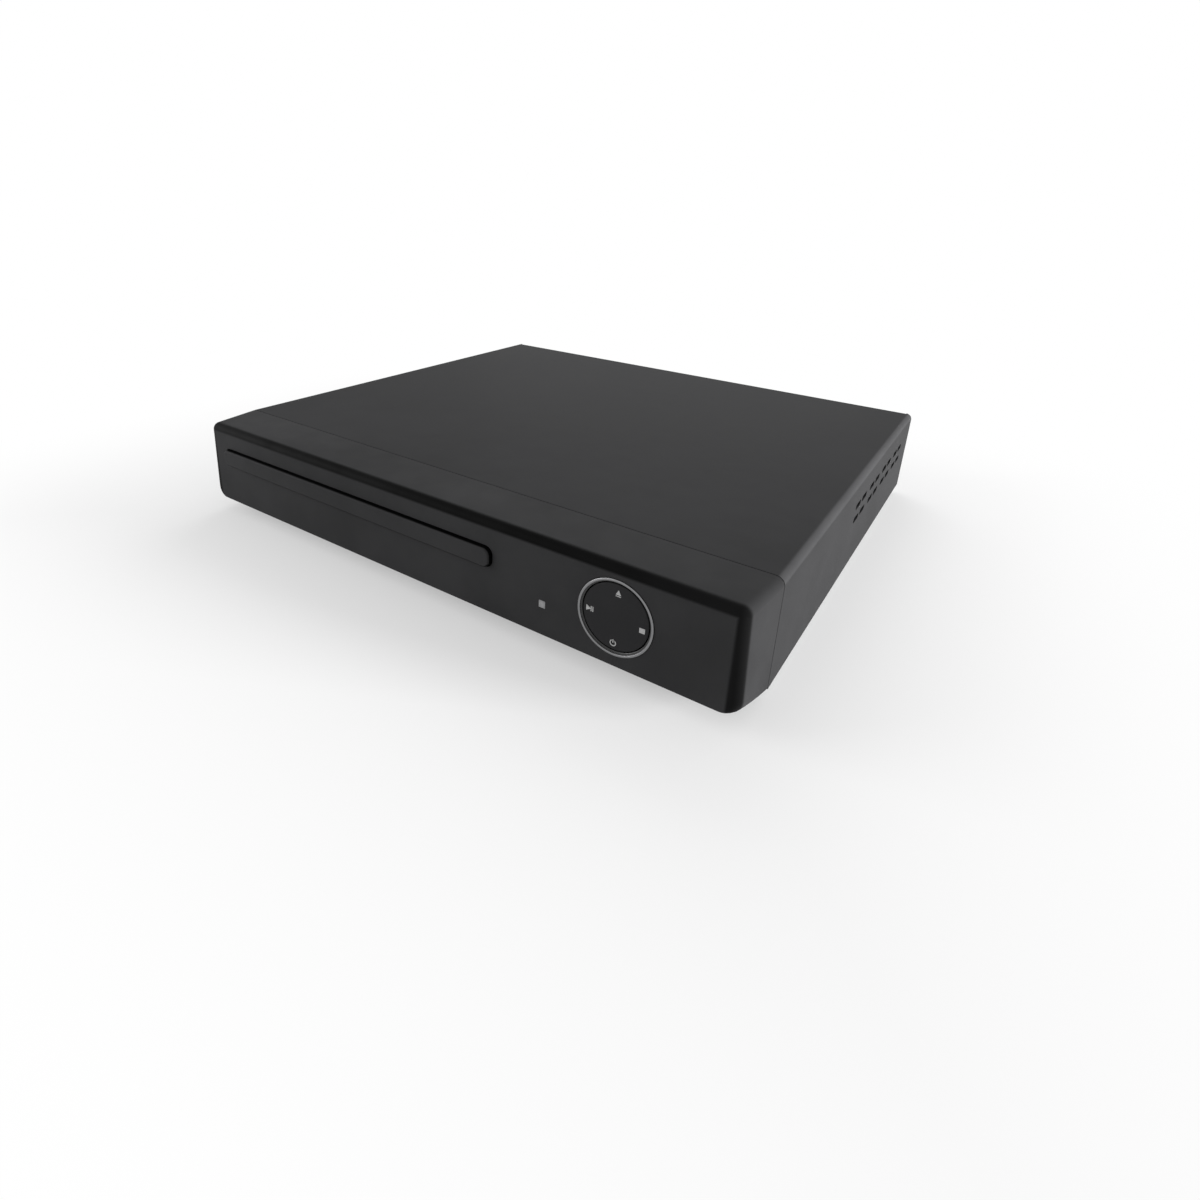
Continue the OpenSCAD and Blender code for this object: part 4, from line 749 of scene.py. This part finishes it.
class Studio(bpy.types.PropertyGroup):
    """Camera and light."""
    azimuth: degrees("Azimuth", "How far right of the front the camera stands", 33.65)
    elevation: degrees("Elevation", "How far down the camera looks", 20.5)
    roll: degrees("Roll", "How far the camera leans", 2.17)
    place: FloatVectorProperty(name="Camera Place", description="Where the camera stands",
                               default=(0.1509, -0.2517, 0.1287), subtype="TRANSLATION", unit="LENGTH")
    ambient: FloatProperty(name="Ambient", description="Strength of the light from all round", default=0.5)
    floor: tint("Floor", "Colour of the floor", (0.9, 0.9, 0.9))


# ---------- casing ----------

def outline_plate(name, y, left, right, bottom, top, low_radius, top_radius, flare):
    """The outline of an upright plate that widens to its foot, with round corners, each in 8 steps."""
    let_go()
    middle_x = (left + right) / 2
    bpy.ops.mesh.primitive_plane_add(size=1, location=Vector((middle_x, y, (bottom + top) / 2)),
                                     rotation=(math.pi / 2, 0, 0))
    bpy.context.object.scale = (right - left, top - bottom, 1)
    obj = named(name)
    open_up(obj)
    pick(obj, "VERT", lambda v: abs(v.co.z - bottom) < JOINED)
    widen = 1 + 2 * flare / (right - left)
    bpy.ops.transform.resize(value=(widen, 1, 1), center_override=(middle_x, y, bottom))
    for end, radius in ((top, top_radius), (bottom, low_radius)):
        pick(obj, "VERT", lambda v: abs(v.co.z - end) < JOINED)
        bpy.ops.mesh.bevel(offset=radius, segments=8, affect="VERTICES")
    bpy.ops.mesh.select_mode(type="FACE")
    bpy.ops.mesh.select_all(action="SELECT")
    bpy.ops.mesh.delete(type="ONLY_FACE")
    let_go()
    return obj


def loft(name, outlines):
    """Bridges outlines, given from front to back, and closes the first and the last."""
    places = [outline.data.vertices[0].co.y for outline in outlines]
    obj = joined(outlines, name)
    open_up(obj)

    def edges_at(*wanted):
        pick(obj, "EDGE", lambda edge: min(abs(middle(edge).y - y) for y in wanted) < JOINED)

    for a, b in zip(places, places[1:]):
        edges_at(a, b)
        bpy.ops.mesh.bridge_edge_loops()
    for y in (places[0], places[-1]):
        edges_at(y)
        bpy.ops.mesh.edge_face_add()
    bpy.ops.mesh.select_all(action="SELECT")
    bpy.ops.mesh.normals_make_consistent(inside=False)
    let_go()
    return obj


class PLAYER_OT_bezel(bpy.types.Operator):
    """Moulds the bezel: a tapered shell with round front edges, its openings, posts, tongue and clips"""
    bl_idname = "player.bezel"
    bl_label = "Bezel"

    # In millimetres: the screw posts and their bores, the gimbal's pivots, and the hole for the ring
    post_start, post_radius = 2, 2.4
    bore_start, bore_end, bore_radius = 4.2, 12, 1.3
    pivot_reach, pivot_radius = 14.4, 0.65
    ring_seat = 11.8

    def execute(self, context):
        case = context.scene.player_case
        seam_y = COVER_FRONT - case.seam
        steps = 8
        turns = [math.pi / 2 * step / steps for step in range(steps + 1)]
        front = [self.outline(case, FRONT + case.front_round * (1 - math.cos(turn)),
                              case.front_round * (1 - math.sin(turn))) for turn in turns]
        side_depths = (6, 10, 15)
        sides = [self.outline(case, FRONT + depth * MM, 0) for depth in side_depths]
        shell = loft("bezel_shell", [*front, *sides, self.outline(case, seam_y, 0)])
        wall = case.wall
        inside = [self.outline(case, y, wall) for y in (FRONT + wall, seam_y, seam_y + wall)]
        merge(shell, loft("bezel_hollow", inside), "DIFFERENCE")
        for piece in self.added(seam_y):
            merge(shell, piece, "UNION")
        for piece in self.cut(case):
            merge(shell, piece, "DIFFERENCE")
        soften(shell, 0.18)
        finished(shell, "case", "front_bezel")
        return {"FINISHED"}

    def outline(self, case, y, inset):
        """The bezel's outline at a depth, drawn in by an inset: it tapers towards the front."""
        low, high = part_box("front_bezel")
        forward = max(0.0, (COVER_FRONT - y) / (COVER_FRONT - FRONT))
        seam_radius, sharp = 0.6 * MM, 0.3 * MM
        radius_loss, rise_power = 0.6, 1.6
        low_radius = seam_radius + (case.low_radius - seam_radius) * forward
        side = inset + case.side_taper * forward
        depth = min(max(y - FRONT, 0.0), case.low_round)
        curl = case.low_round - math.sqrt(case.low_round ** 2 - (case.low_round - depth) ** 2)
        bottom = BASE + case.bottom_rise * forward ** rise_power + (inset if inset == case.wall else curl)
        return outline_plate("outline", y, low.x + side, high.x - side, bottom,
                             high.z - case.top_drop * forward - inset,
                             max(low_radius - radius_loss * inset, sharp),
                             max(case.top_radius - inset, sharp), case.flare * forward)

    def board_posts(self):
        """Where the front board is screwed down, at its front."""
        low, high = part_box("front_board")
        inset = 4 * MM
        left, right = low.x + inset, high.x - inset
        places = ((left, 27), (right, 29), (right, 7.5), (left, 7.5))
        return [Vector((x, low.y, BASE + z * MM)) for x, z in places]

    def pivots(self):
        """Where the bezel's two gimbal posts hold the pins."""
        ring = deep(centre_of("control_ring"), GIMBAL_DEPTH)
        return [ring + Vector((side * self.pivot_reach * MM, 0, 0)) for side in (-1, 1)]

    def added(self, seam_y):
        """Posts for the front board and the gimbal, the tongue under the cover, and the clips."""
        for place in self.board_posts():
            yield cylinder("post", deep(place, self.post_start), place, self.post_radius)
        reach, post_end = Vector((1.2 * MM, 0, 2 * MM)), 6.5
        for pivot in self.pivots():
            yield block("gimbal_post", deep(pivot, self.post_start) - reach, deep(pivot, post_end) + reach)
        low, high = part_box("front_bezel")
        fit, thick, below = 0.8 * MM, 1.2 * MM, 6 * MM
        before, behind, past = 2 * MM, 4 * MM, 1 * MM
        step = Vector((thick, 0, thick))
        outer = rounded_block("tongue", Vector((low.x + fit, seam_y - before, BASE)),
                              Vector((high.x - fit, seam_y + behind, high.z - fit)), 1.9 * MM, 1)
        inner = rounded_block("tongue_inside",
                              Vector((low.x + fit, seam_y - before - past, BASE - below)) + step,
                              Vector((high.x - fit, seam_y + behind + past, high.z - fit)) - step,
                              1.6 * MM, 1)
        merge(outer, inner, "DIFFERENCE")
        yield outer
        for x in (-80, 0, 80):
            yield rounded_block("clip", at(x - 8, 15, 0.8), at(x + 8, 26, 2.4), 1.2 * MM, 2)

    def cut(self, case):
        """The openings for the door, the ring, the gimbal's pins and the window, and the posts' bores."""
        before, behind = -2, 4
        gap = Vector((case.door_gap, 0, case.door_gap))
        low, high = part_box("tray_door")
        radius = DOOR_ROUND * (high.z - low.z) + case.door_gap
        yield rounded_block("door_cut", low - gap + BACK * before * MM, deep(high, behind) + gap, radius, 1)
        ring = centre_of("control_ring")
        yield cylinder("ring_cut", deep(ring, before), deep(ring, behind), self.ring_seat, 96)
        along = Vector((3 * MM, 0, 0))
        for pivot in self.pivots():
            yield cylinder("pivot_cut", pivot - along, pivot + along, self.pivot_radius, 24)
        window = centre_of("status_window")
        half = Vector((1.25 * MM, 0, 1.3 * MM))
        yield rounded_block("window_cut", deep(window, before) - half, deep(window, behind) + half,
                            0.25 * MM, 1, 3)
        for place in self.board_posts():
            yield cylinder("bore", deep(place, self.bore_start), deep(place, self.bore_end),
                           self.bore_radius, 24)


class PLAYER_OT_door(bpy.types.Operator):
    """Moulds the tray's door: a bar with round ends and a soft front edge"""
    bl_idname = "player.door"
    bl_label = "Tray Door"

    def execute(self, context):
        low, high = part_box("tray_door")
        door = rounded_block("door_face", low, high, DOOR_ROUND * (high.z - low.z), 1, 10)
        open_up(door)
        pick(door, "EDGE", lambda edge: abs(middle(edge).y - low.y) < JOINED)
        bpy.ops.mesh.bevel(offset=0.6 * MM, segments=5, affect="EDGES")
        let_go()
        smooth(door)
        finished(door, "tray", "tray_door")
        return {"FINISHED"}


class PLAYER_OT_cover(bpy.types.Operator):
    """Folds the cover from one sheet: top, sides and back lip, with the vent slots punched in its sides"""
    bl_idname = "player.cover"
    bl_label = "Cover"

    def execute(self, context):
        case = context.scene.player_case
        low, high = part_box("top_cover")
        side_bend, back_bend, lip_inset = 2.6 * MM, 1.3 * MM, 2.5 * MM
        cover = block("cover_sheet", low, high)
        open_up(cover)
        pick(cover, "FACE", lambda face: abs(face.normal.y) > 0.9 or face.normal.z < -0.9)
        bpy.ops.mesh.delete(type="FACE")
        pick(cover, "EDGE", lambda edge: runs_along(edge, 1) and middle(edge).z > high.z - JOINED)
        bpy.ops.mesh.bevel(offset=side_bend, segments=10, affect="EDGES")

        def at_back(edge):
            return (runs_along(edge, 0) and middle(edge).y > high.y - JOINED
                    and middle(edge).z > high.z - JOINED)

        pick(cover, "EDGE", lambda edge: at_back(edge) and abs(middle(edge).x) < high.x - lip_inset)
        bpy.ops.mesh.extrude_region_move(TRANSFORM_OT_translate={"value": (0, 0, -case.lip)})
        pick(cover, "EDGE", lambda edge: at_back(edge) and len(edge.link_faces) == 2)
        bpy.ops.mesh.bevel(offset=back_bend, segments=5, affect="EDGES")
        bpy.ops.mesh.select_all(action="SELECT")
        bpy.ops.mesh.normals_make_consistent(inside=False)
        self.face_out(cover)
        let_go()
        apply_modifier(cover, "SOLIDIFY", thickness=case.sheet, offset=-1, use_even_offset=True)
        merge(cover, self.vents(high), "DIFFERENCE")
        soften(cover, 0.12, 50)
        finished(cover, "case", "top_cover")
        return {"FINISHED"}

    def face_out(self, cover):
        """Turns the open sheet over if its largest face looks inwards."""
        mesh = bmesh.from_edit_mesh(cover.data)
        top = max(mesh.faces, key=lambda face: face.calc_area())
        if top.normal.z < -0.5 or (abs(top.normal.x) > 0.5 and top.normal.x * middle(top).x < 0):
            bpy.ops.mesh.flip_normals()

    def vents(self, high):
        """The punches for the vent slots: two rows of four pairs on each side."""
        half = high.x / MM
        last = (high.y - FRONT) / MM - 17
        length, half_height = 7.6, 1.1
        rows, group_pitch, pair_pitch = (18.7, 24.0), 22.5, 9.4
        slot = rounded_block("vent", at(-3, -length, -half_height), at(3, 0, half_height), 1.08 * MM, 0, 6)
        steps = [Vector((side * half, last - group * group_pitch - pair * pair_pitch, z)) * MM
                 for side in (-1, 1) for z in rows for group in range(4) for pair in (0, 1)]
        made = copies(slot, steps)
        bpy.data.objects.remove(slot, do_unlink=True)
        return joined(made, "vent_punches")


class PLAYER_OT_rear(bpy.types.Operator):
    """Presses the rear panel, the chassis and their edges"""
    bl_idname = "player.rear"
    bl_label = "Rear Panel and Chassis"

    def execute(self, context):
        soft_copy("rear_panel", "rear_sheet", 0.12, 50)
        soft_copy("bottom_chassis", "chassis_tray", 0.12, 50)
        return {"FINISHED"}


# ---------- controls ----------

class PLAYER_OT_ring(bpy.types.Operator):
    """Turns the silver ring, with its flange behind the bezel"""
    bl_idname = "player.ring"
    bl_label = "Ring"

    def execute(self, context):
        controls = context.scene.player_controls
        low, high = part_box("control_ring")
        flange = (high.x - low.x) / 2 / MM
        hoop_width, flange_depth = 1.2, 0.8
        outer = flange - RING_FLANGE
        inner = outer - hoop_width
        bead = outer - controls.bead / MM
        back = (high.y - FRONT) / MM
        seat = back - flange_depth
        crown = [(inner, 0.35), (inner + 0.1, 0.25), (bead - 0.02, 0.2), (bead, -0.06), (bead + 0.05, -0.2),
                 (bead + 0.16, -0.27), (bead + 0.32, -0.3), (outer - 0.16, -0.27), (outer - 0.05, -0.2),
                 (outer, -0.06)]
        hoop = [(outer, seat), (flange, seat), (flange, back), (inner, back), crown[0]]
        ring = turned("ring_trim", crown + hoop, deep((low + high) / 2, 0), steps=controls.turns)
        smooth(ring)
        finished(ring, "case", "control_ring")
        return {"FINISHED"}


class PLAYER_OT_pad(bpy.types.Operator):
    """Turns the rocker pad, adds its four nubs and two pins, and prints the four marks on it"""
    bl_idname = "player.pad"
    bl_label = "Pad and Marks"

    # Where a mark starts and ends, in millimetres behind the pad's front
    ink = (-0.03, 0.35)

    def execute(self, context):
        controls = context.scene.player_controls
        self.centre = deep(centre_of("control_ring"), 0)
        rim, back = 10.2, 2.3
        profile = [(0, 0.0), (3, 0.01), (rim - 3, 0.05), (rim - 0.4, 0.2), (rim - 0.12, 0.32), (rim, 0.6),
                   (rim, back), (0, back)]
        pad = turned("pad_cap", profile, self.centre, steps=controls.turns)
        nub_reach, nub_foot, nub_tip, nub_radius = 6.6, 2.1, 6.6, 1.3
        for turn in range(4):
            out = Matrix.Rotation(turn * math.pi / 2, 3, "Y") @ Vector((nub_reach, 0, 0))
            foot, tip = self.spot(out.x, nub_foot, out.z), self.spot(out.x, nub_tip, out.z)
            merge(pad, cylinder("nub", foot, tip, nub_radius, 32), "UNION")
        pin_start, pin_end, pin_radius = 6.6, 10.4, 0.6
        for side in (-1, 1):
            start, end = [self.spot(0, GIMBAL_DEPTH, side * reach) for reach in (pin_start, pin_end)]
            merge(pad, cylinder("pin", start, end, pin_radius, 24), "UNION")
        soften(pad, 0.1, 40)
        finished(pad, "pad", "control_pad")
        reach, size = controls.mark_reach / MM, controls.mark / MM
        marks = [self.eject(0.6, reach - 0.4, size * 0.82), self.play(-reach, size),
                 self.stop(reach + 0.4, -0.7, size * 0.83), self.power(-reach, size)]
        ink = ink_finish("mark_ink").material
        for mark in marks:
            smooth(mark)
            mark.data.materials.append(ink)
            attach(mark, "pad")
        return {"FINISHED"}

    def spot(self, x, y, z):
        """A point in millimetres from the middle of the pad's front."""
        return self.centre + Vector((x, y, z)) * MM

    def bar(self, left, right, low, high):
        return block("bar", self.spot(left, self.ink[0], low), self.spot(right, self.ink[1], high))

    def wedge(self, x, z, radius, turn):
        """A three-sided plate that points up, or turned from there to the right."""
        let_go()
        front, back = self.ink
        bpy.ops.mesh.primitive_cylinder_add(vertices=3, radius=radius * MM, depth=(back - front) * MM,
                                            location=self.spot(x, (front + back) / 2, z),
                                            rotation=(math.pi / 2, turn, 0))
        return named("wedge")

    def softened(self, shapes, name):
        mark = joined(shapes, name)
        apply_modifier(mark, "BEVEL", width=0.05 * MM, segments=2, limit_method="ANGLE")
        return mark

    def eject(self, x, z, size):
        """A wedge over a bar."""
        half = size * 0.5
        wedge = self.wedge(x, z + 0.2, size * 0.6, 0)
        top = z - 0.66 * half
        return self.softened([wedge, self.bar(x - half, x + half, top - 0.25, top)], "eject_mark")

    def play(self, x, size):
        """A wedge before two bars."""
        wedge = self.wedge(x - 0.55, 0, size * 0.52, math.pi / 2)
        half = size * 0.41
        bars = [self.bar(left, left + 0.32, -half, half) for left in (x + 0.35, x + 0.9)]
        return self.softened([wedge, *bars], "play_mark")

    def stop(self, x, z, size):
        half = size * 0.5
        return self.softened([self.bar(x - half, x + half, z - 0.9 * half, z + 0.9 * half)], "stop_mark")

    def power(self, z, size):
        """An open ring with a bar in its gap."""
        front, back = self.ink
        outer = size * 0.5
        inner = outer - 0.3
        profile = [(inner, front), (outer, front), (outer, back), (inner, back), (inner, front)]
        arc = turned("arc", profile, self.spot(0, 0, z), steps=40)
        gap = block("gap", self.spot(-0.42, -1, z), self.spot(0.42, 1, z + 2 * outer))
        merge(arc, gap, "DIFFERENCE")
        return self.softened([arc, self.bar(-0.15, 0.15, z + 0.1, z + outer + 0.15)], "power_mark")


class PLAYER_OT_window(bpy.types.Operator):
    """Moulds the small status window with its flange behind the bezel"""
    bl_idname = "player.window"
    bl_label = "Status Window"

    def execute(self, context):
        low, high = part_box("status_window")
        centre = centre_of("status_window")
        half = Vector((1.15 * MM, 0, 1.2 * MM))
        flange_y = high.y - 1.0 * MM
        lens = rounded_block("window_lens", Vector((centre.x, low.y, centre.z)) - half,
                             Vector((centre.x, flange_y + 0.1 * MM, centre.z)) + half, 0.2 * MM, 1, 3)
        flange = rounded_block("flange", Vector((low.x, flange_y, low.z)), high, 0.5 * MM, 1, 4)
        merge(lens, flange, "UNION")
        soften(lens, 0.1, segments=3)
        finished(lens, "case", "status_window")
        return {"FINISHED"}


# ---------- feet, screws and connectors ----------

class PLAYER_OT_feet(bpy.types.Operator):
    """Moulds the four rubber feet, each with a rounded rim and a sunken middle"""
    bl_idname = "player.feet"
    bl_label = "Feet"

    def execute(self, context):
        low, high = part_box("feet")
        radius, height = 7.0, (high.z - low.z) / MM
        profile = [(0, 0.7), (2.6, 0.7), (3.0, 0.45), (3.2, 0.0), (5.7, 0.0), (6.2, 0.12), (6.5, 0.45),
                   (6.7, 1.0), (radius, height - 0.5), (radius, height), (0, height)]
        inset = radius * MM
        places = [(x, y) for x in (low.x + inset, high.x - inset) for y in (low.y + inset, high.y - inset)]
        for i, (x, y) in enumerate(places):
            foot = turned(f"foot_{i + 1}", profile, Vector((x, y, low.z)), UP)
            smooth(foot, 40)
            finished(foot, "case", "feet")
        return {"FINISHED"}


class PLAYER_OT_screws(bpy.types.Operator):
    """Turns the case screws: domed heads with a cross recess, and grooved shanks"""
    bl_idname = "player.screws"
    bl_label = "Case Screws"

    def execute(self, context):
        # The plate that each row of screws is in, its height, the shank's length and the places across
        rows = [("top_cover", 30.3, 6.0, (-80, 0, 80)), ("rear_panel", 4, 5.0, (-102, 102))]
        places = [(Vector((x * MM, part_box(plate)[1].y, BASE + z * MM)), shank)
                  for plate, z, shank, across in rows for x in across]
        for i, (place, shank) in enumerate(places):
            finished(self.screw(f"case_screw_{i + 1}", place, shank), "case", "case_screws")
        return {"FINISHED"}

    def screw(self, name, place, shank):
        """One screw whose head's underside is at a place and whose shank points to the front."""
        pitch, crest, root = 0.35, 1.25, 1.02
        head = [(0, 1.8), (0.9, 1.76), (1.8, 1.5), (2.4, 1.05), (2.7, 0.5), (2.8, 0.15), (2.8, 0.0)]
        steps = range(int((shank - 0.9) / pitch))
        thread = [(crest if step % 2 else root, -pitch * step - 0.2) for step in steps]
        profile = [*head, (root, 0.0), *thread, (0.9, 0.5 - shank), (0, -shank)]
        screw = turned(name, profile, place, steps=48)
        floor, above = BACK * 0.85 * MM, BACK * 3 * MM
        for across, up in ((1.5, 0.3), (0.3, 1.5)):
            half = Vector((across, 0, up)) * MM
            merge(screw, block("recess", place + floor - half, place + above + half), "DIFFERENCE")
        smooth(screw, 30)
        return screw


class PLAYER_OT_jacks(bpy.types.Operator):
    """Turns the four round jacks, each in its colour, and softens the other jacks and the mains inlet"""
    bl_idname = "player.jacks"
    bl_label = "Jacks"

    def execute(self, context):
        colours = {"coaxial": (0.75, 0.24, 0.02), "video": (0.75, 0.52, 0.04),
                   "audio_left": (0.78, 0.78, 0.76), "audio_right": (0.6, 0.03, 0.025)}
        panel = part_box("rear_panel")[0].y
        flange, end = [(corner.y - panel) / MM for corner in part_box("jack_barrels")]
        for name, colour in colours.items():
            place = MOUNTS[name + "_jack"].copy()
            place.y = panel
            plastic = moulded(name + "_plastic", colour, 0.36, 0.5, 0.006).material
            insert = turned(name + "_insert", self.insert(flange, end), place)
            smooth(insert)
            finished(insert, "case", "jack_inserts", plastic)
            barrel = turned(name + "_barrel", self.barrel(flange, end), place)
            smooth(barrel)
            finished(barrel, "case", "jack_barrels")
        soft_copy("jack_blocks", "jack_block", 0.25)
        soft_copy("hdmi_jack", "digital_jack", 0.08)
        soft_copy("mains_inlet", "mains_socket", 0.25)
        return {"FINISHED"}

    def insert(self, foot, end):
        """Coloured plastic: a flange against the panel and a sleeve inside the barrel."""
        flange, core, bore = 5.6, 3.5, 1.75
        return [(bore, 0.0), (flange, 0.0), (flange, foot - 0.15), (flange - 0.15, foot), (core, foot),
                (core, end - 0.7), (core - 0.2, end - 0.5), (bore + 0.25, end - 0.5), (bore, end - 0.8),
                (bore, 0.0)]

    def barrel(self, foot, end):
        """Plated barrel with a rolled mouth and a groove at its foot."""
        outer, inner = 4.15, 3.55
        groove = outer - 0.15
        return [(inner, foot), (outer - 0.1, foot), (outer, foot + 0.1), (outer, foot + 0.9),
                (groove, foot + 1.0), (groove, foot + 1.3), (outer, foot + 1.4), (outer, end - 0.35),
                (outer - 0.1, end - 0.1), (outer - 0.3, end), (inner + 0.1, end), (inner, end - 0.1),
                (inner, foot)]


class PLAYER_OT_works(bpy.types.Operator):
    """Softens the moulded and cast pieces inside, which show when the tray is out"""
    bl_idname = "player.works"
    bl_label = "Works"

    def execute(self, context):
        bodies = frame["record"]["behaviour"]["bodies"]
        body_of = {node: body for body, nodes in bodies.items() for node in nodes}
        edges = {"tray": 0.3, "loader_frame": 0.2, "clamp_bridge": 0.3, "board_headers": 0.2,
                 "transformer": 0.3, "chip_heat_sink": 0.1, "pickup_sled": 0.15, "lift_frame": 0.2,
                 "power_heat_sink": 0.15, "board_chips": 0.12}
        for node, edge in edges.items():
            soft_copy(node, node + "_soft", edge, body=body_of[node])
        return {"FINISHED"}


class PLAYER_OT_finishes(bpy.types.Operator):
    """Gives every CAD node that still shows the finish of its material slot"""
    bl_idname = "player.finishes"
    bl_label = "Finishes"

    def execute(self, context):
        for node, obj in frame["nodes"].items():
            if not obj.hide_render:
                obj.data.materials.clear()
                obj.data.materials.append(finish(SLOT_OF[node]))
        return {"FINISHED"}


# ---------- stage ----------

class PLAYER_OT_stage(bpy.types.Operator):
    """Lays the pale floor, hangs the soft lights and places the camera"""
    bl_idname = "player.stage"
    bl_label = "Stage"

    def execute(self, context):
        studio = context.scene.player_studio
        self.floor(tuple(studio.floor))
        self.sky(context.scene, studio.ambient)
        self.lamp("back_light", (-0.15, 0.4, 0.4), 1.15)
        self.lamp("left_light", (-0.6, -0.45, 0.25), 3.0)
        self.lamp("right_light", (1.6, 0.4, 0.2), 55.0).visible_glossy = False
        self.camera(context.scene, studio)
        context.scene.view_settings.view_transform = "Standard"
        return {"FINISHED"}

    def seen(self, nodes):
        """1 for what the camera sees straight, in a gloss or through glass."""
        path = nodes.node("ShaderNodeLightPath").socket.node
        return nodes.most(*(Wire(nodes, path.outputs[f"Is {kind} Ray"])
                            for kind in ("Camera", "Glossy", "Transmission")))

    def floor(self, colour):
        """A round floor that fades to white away from the player, and keeps its shadow."""
        let_go()
        bpy.ops.mesh.primitive_circle_add(vertices=96, radius=6, fill_type="NGON")
        floor = named("studio_floor")
        sheet = Sheet("studio_floor", 0.9)
        sheet.set("Specular IOR Level", 0.0)
        sheet.paint(sheet.noise(300), shade(colour, 0.99), colour)
        x, y, _ = sheet.axes()
        high = CAD_BOX[1]
        away = sheet.most(abs(x) - high.x, abs(y) - high.y)
        near, distant, least = 0.005, 0.15, 0.4
        far = sheet.ramp(away, near, distant, least, 1.0) * self.seen(sheet)
        glow = sheet.node("ShaderNodeEmission", sockets={"Color": (1, 1, 1, 1), "Strength": 1.0})
        surface = Wire(sheet, sheet.shader.outputs[0])
        mixed = sheet.node("ShaderNodeMixShader", sockets={0: far, 1: surface, 2: glow})
        sheet.feed(sheet.tree.nodes["Material Output"].inputs["Surface"], mixed)
        floor.data.materials.append(sheet.material)

    def sky(self, scene, ambient):
        """White where it is seen, and a plain soft light for everything else."""
        world = bpy.data.worlds.new("studio_sky")
        world.use_nodes = True
        scene.world = world
        nodes = Nodes(world.node_tree)
        background = nodes.tree.nodes["Background"]
        nodes.feed(background.inputs["Color"], (1, 1, 1, 1))
        nodes.feed(background.inputs["Strength"], self.seen(nodes) * (1 - ambient) + ambient)

    def lamp(self, name, place, power):
        """A square lamp, half a metre wide, that looks at the player."""
        let_go()
        aim = (Vector((0, 0, 0.02)) - Vector(place)).to_track_quat("-Z", "Y").to_euler()
        bpy.ops.object.light_add(type="AREA", location=place, rotation=aim)
        lamp = bpy.context.object
        lamp.name = name
        lamp.data.size = 0.5
        lamp.data.energy = power
        return lamp

    def camera(self, scene, studio):
        """A camera whose axis meets its picture off the middle, by the lens's shift."""
        picture, focal = 1200, 712
        axis = (555, 455)
        bpy.ops.object.camera_add(location=studio.place)
        camera = bpy.context.object
        camera.name = "studio_camera"
        lens = camera.data
        lens.sensor_width = 36
        lens.lens = focal * lens.sensor_width / picture
        lens.clip_start = 0.01
        lens.shift_x = (picture / 2 - axis[0]) / picture
        lens.shift_y = (axis[1] - picture / 2) / picture
        heading = Matrix.Rotation(studio.azimuth, 4, "Z")
        tilt = Matrix.Rotation(math.pi / 2 - studio.elevation, 4, "X")
        lean = Matrix.Rotation(studio.roll, 4, "Z")
        camera.rotation_euler = (heading @ tilt @ lean).to_euler()
        scene.camera = camera


# ---------- panel and registration ----------

OPERATORS = [PLAYER_OT_bezel, PLAYER_OT_door, PLAYER_OT_cover, PLAYER_OT_rear, PLAYER_OT_ring, PLAYER_OT_pad,
             PLAYER_OT_window, PLAYER_OT_feet, PLAYER_OT_screws, PLAYER_OT_jacks, PLAYER_OT_works,
             PLAYER_OT_finishes, PLAYER_OT_stage]
GROUPS = {"player_case": CaseSizes, "player_controls": ControlSizes, "player_colours": Colours,
          "player_studio": Studio}


class PLAYER_PT_panel(bpy.types.Panel):
    """Lists the pieces, in the order in which they are made"""
    bl_label = "Disc Player"
    bl_idname = "PLAYER_PT_panel"
    bl_space_type = "VIEW_3D"
    bl_region_type = "UI"
    bl_category = "Disc Player"

    def draw(self, context):
        for group in GROUPS:
            box = self.layout.box()
            settings = getattr(context.scene, group)
            for name in settings.bl_rna.properties.keys():
                if name not in ("rna_type", "name"):
                    box.prop(settings, name)
        for operator in OPERATORS:
            self.layout.operator(operator.bl_idname)


def register():
    for made in [*GROUPS.values(), *OPERATORS, PLAYER_PT_panel]:
        bpy.utils.register_class(made)
    for name, group in GROUPS.items():
        setattr(bpy.types.Scene, name, PointerProperty(type=group))


def unregister():
    for name in GROUPS:
        delattr(bpy.types.Scene, name)
    for made in reversed([*GROUPS.values(), *OPERATORS, PLAYER_PT_panel]):
        bpy.utils.unregister_class(made)


def main():
    """Registers the add-on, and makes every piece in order."""
    register()
    for operator in OPERATORS:
        group, name = operator.bl_idname.split(".")
        getattr(getattr(bpy.ops, group), name)()
    let_go()


if __name__ == "__main__":
    main()
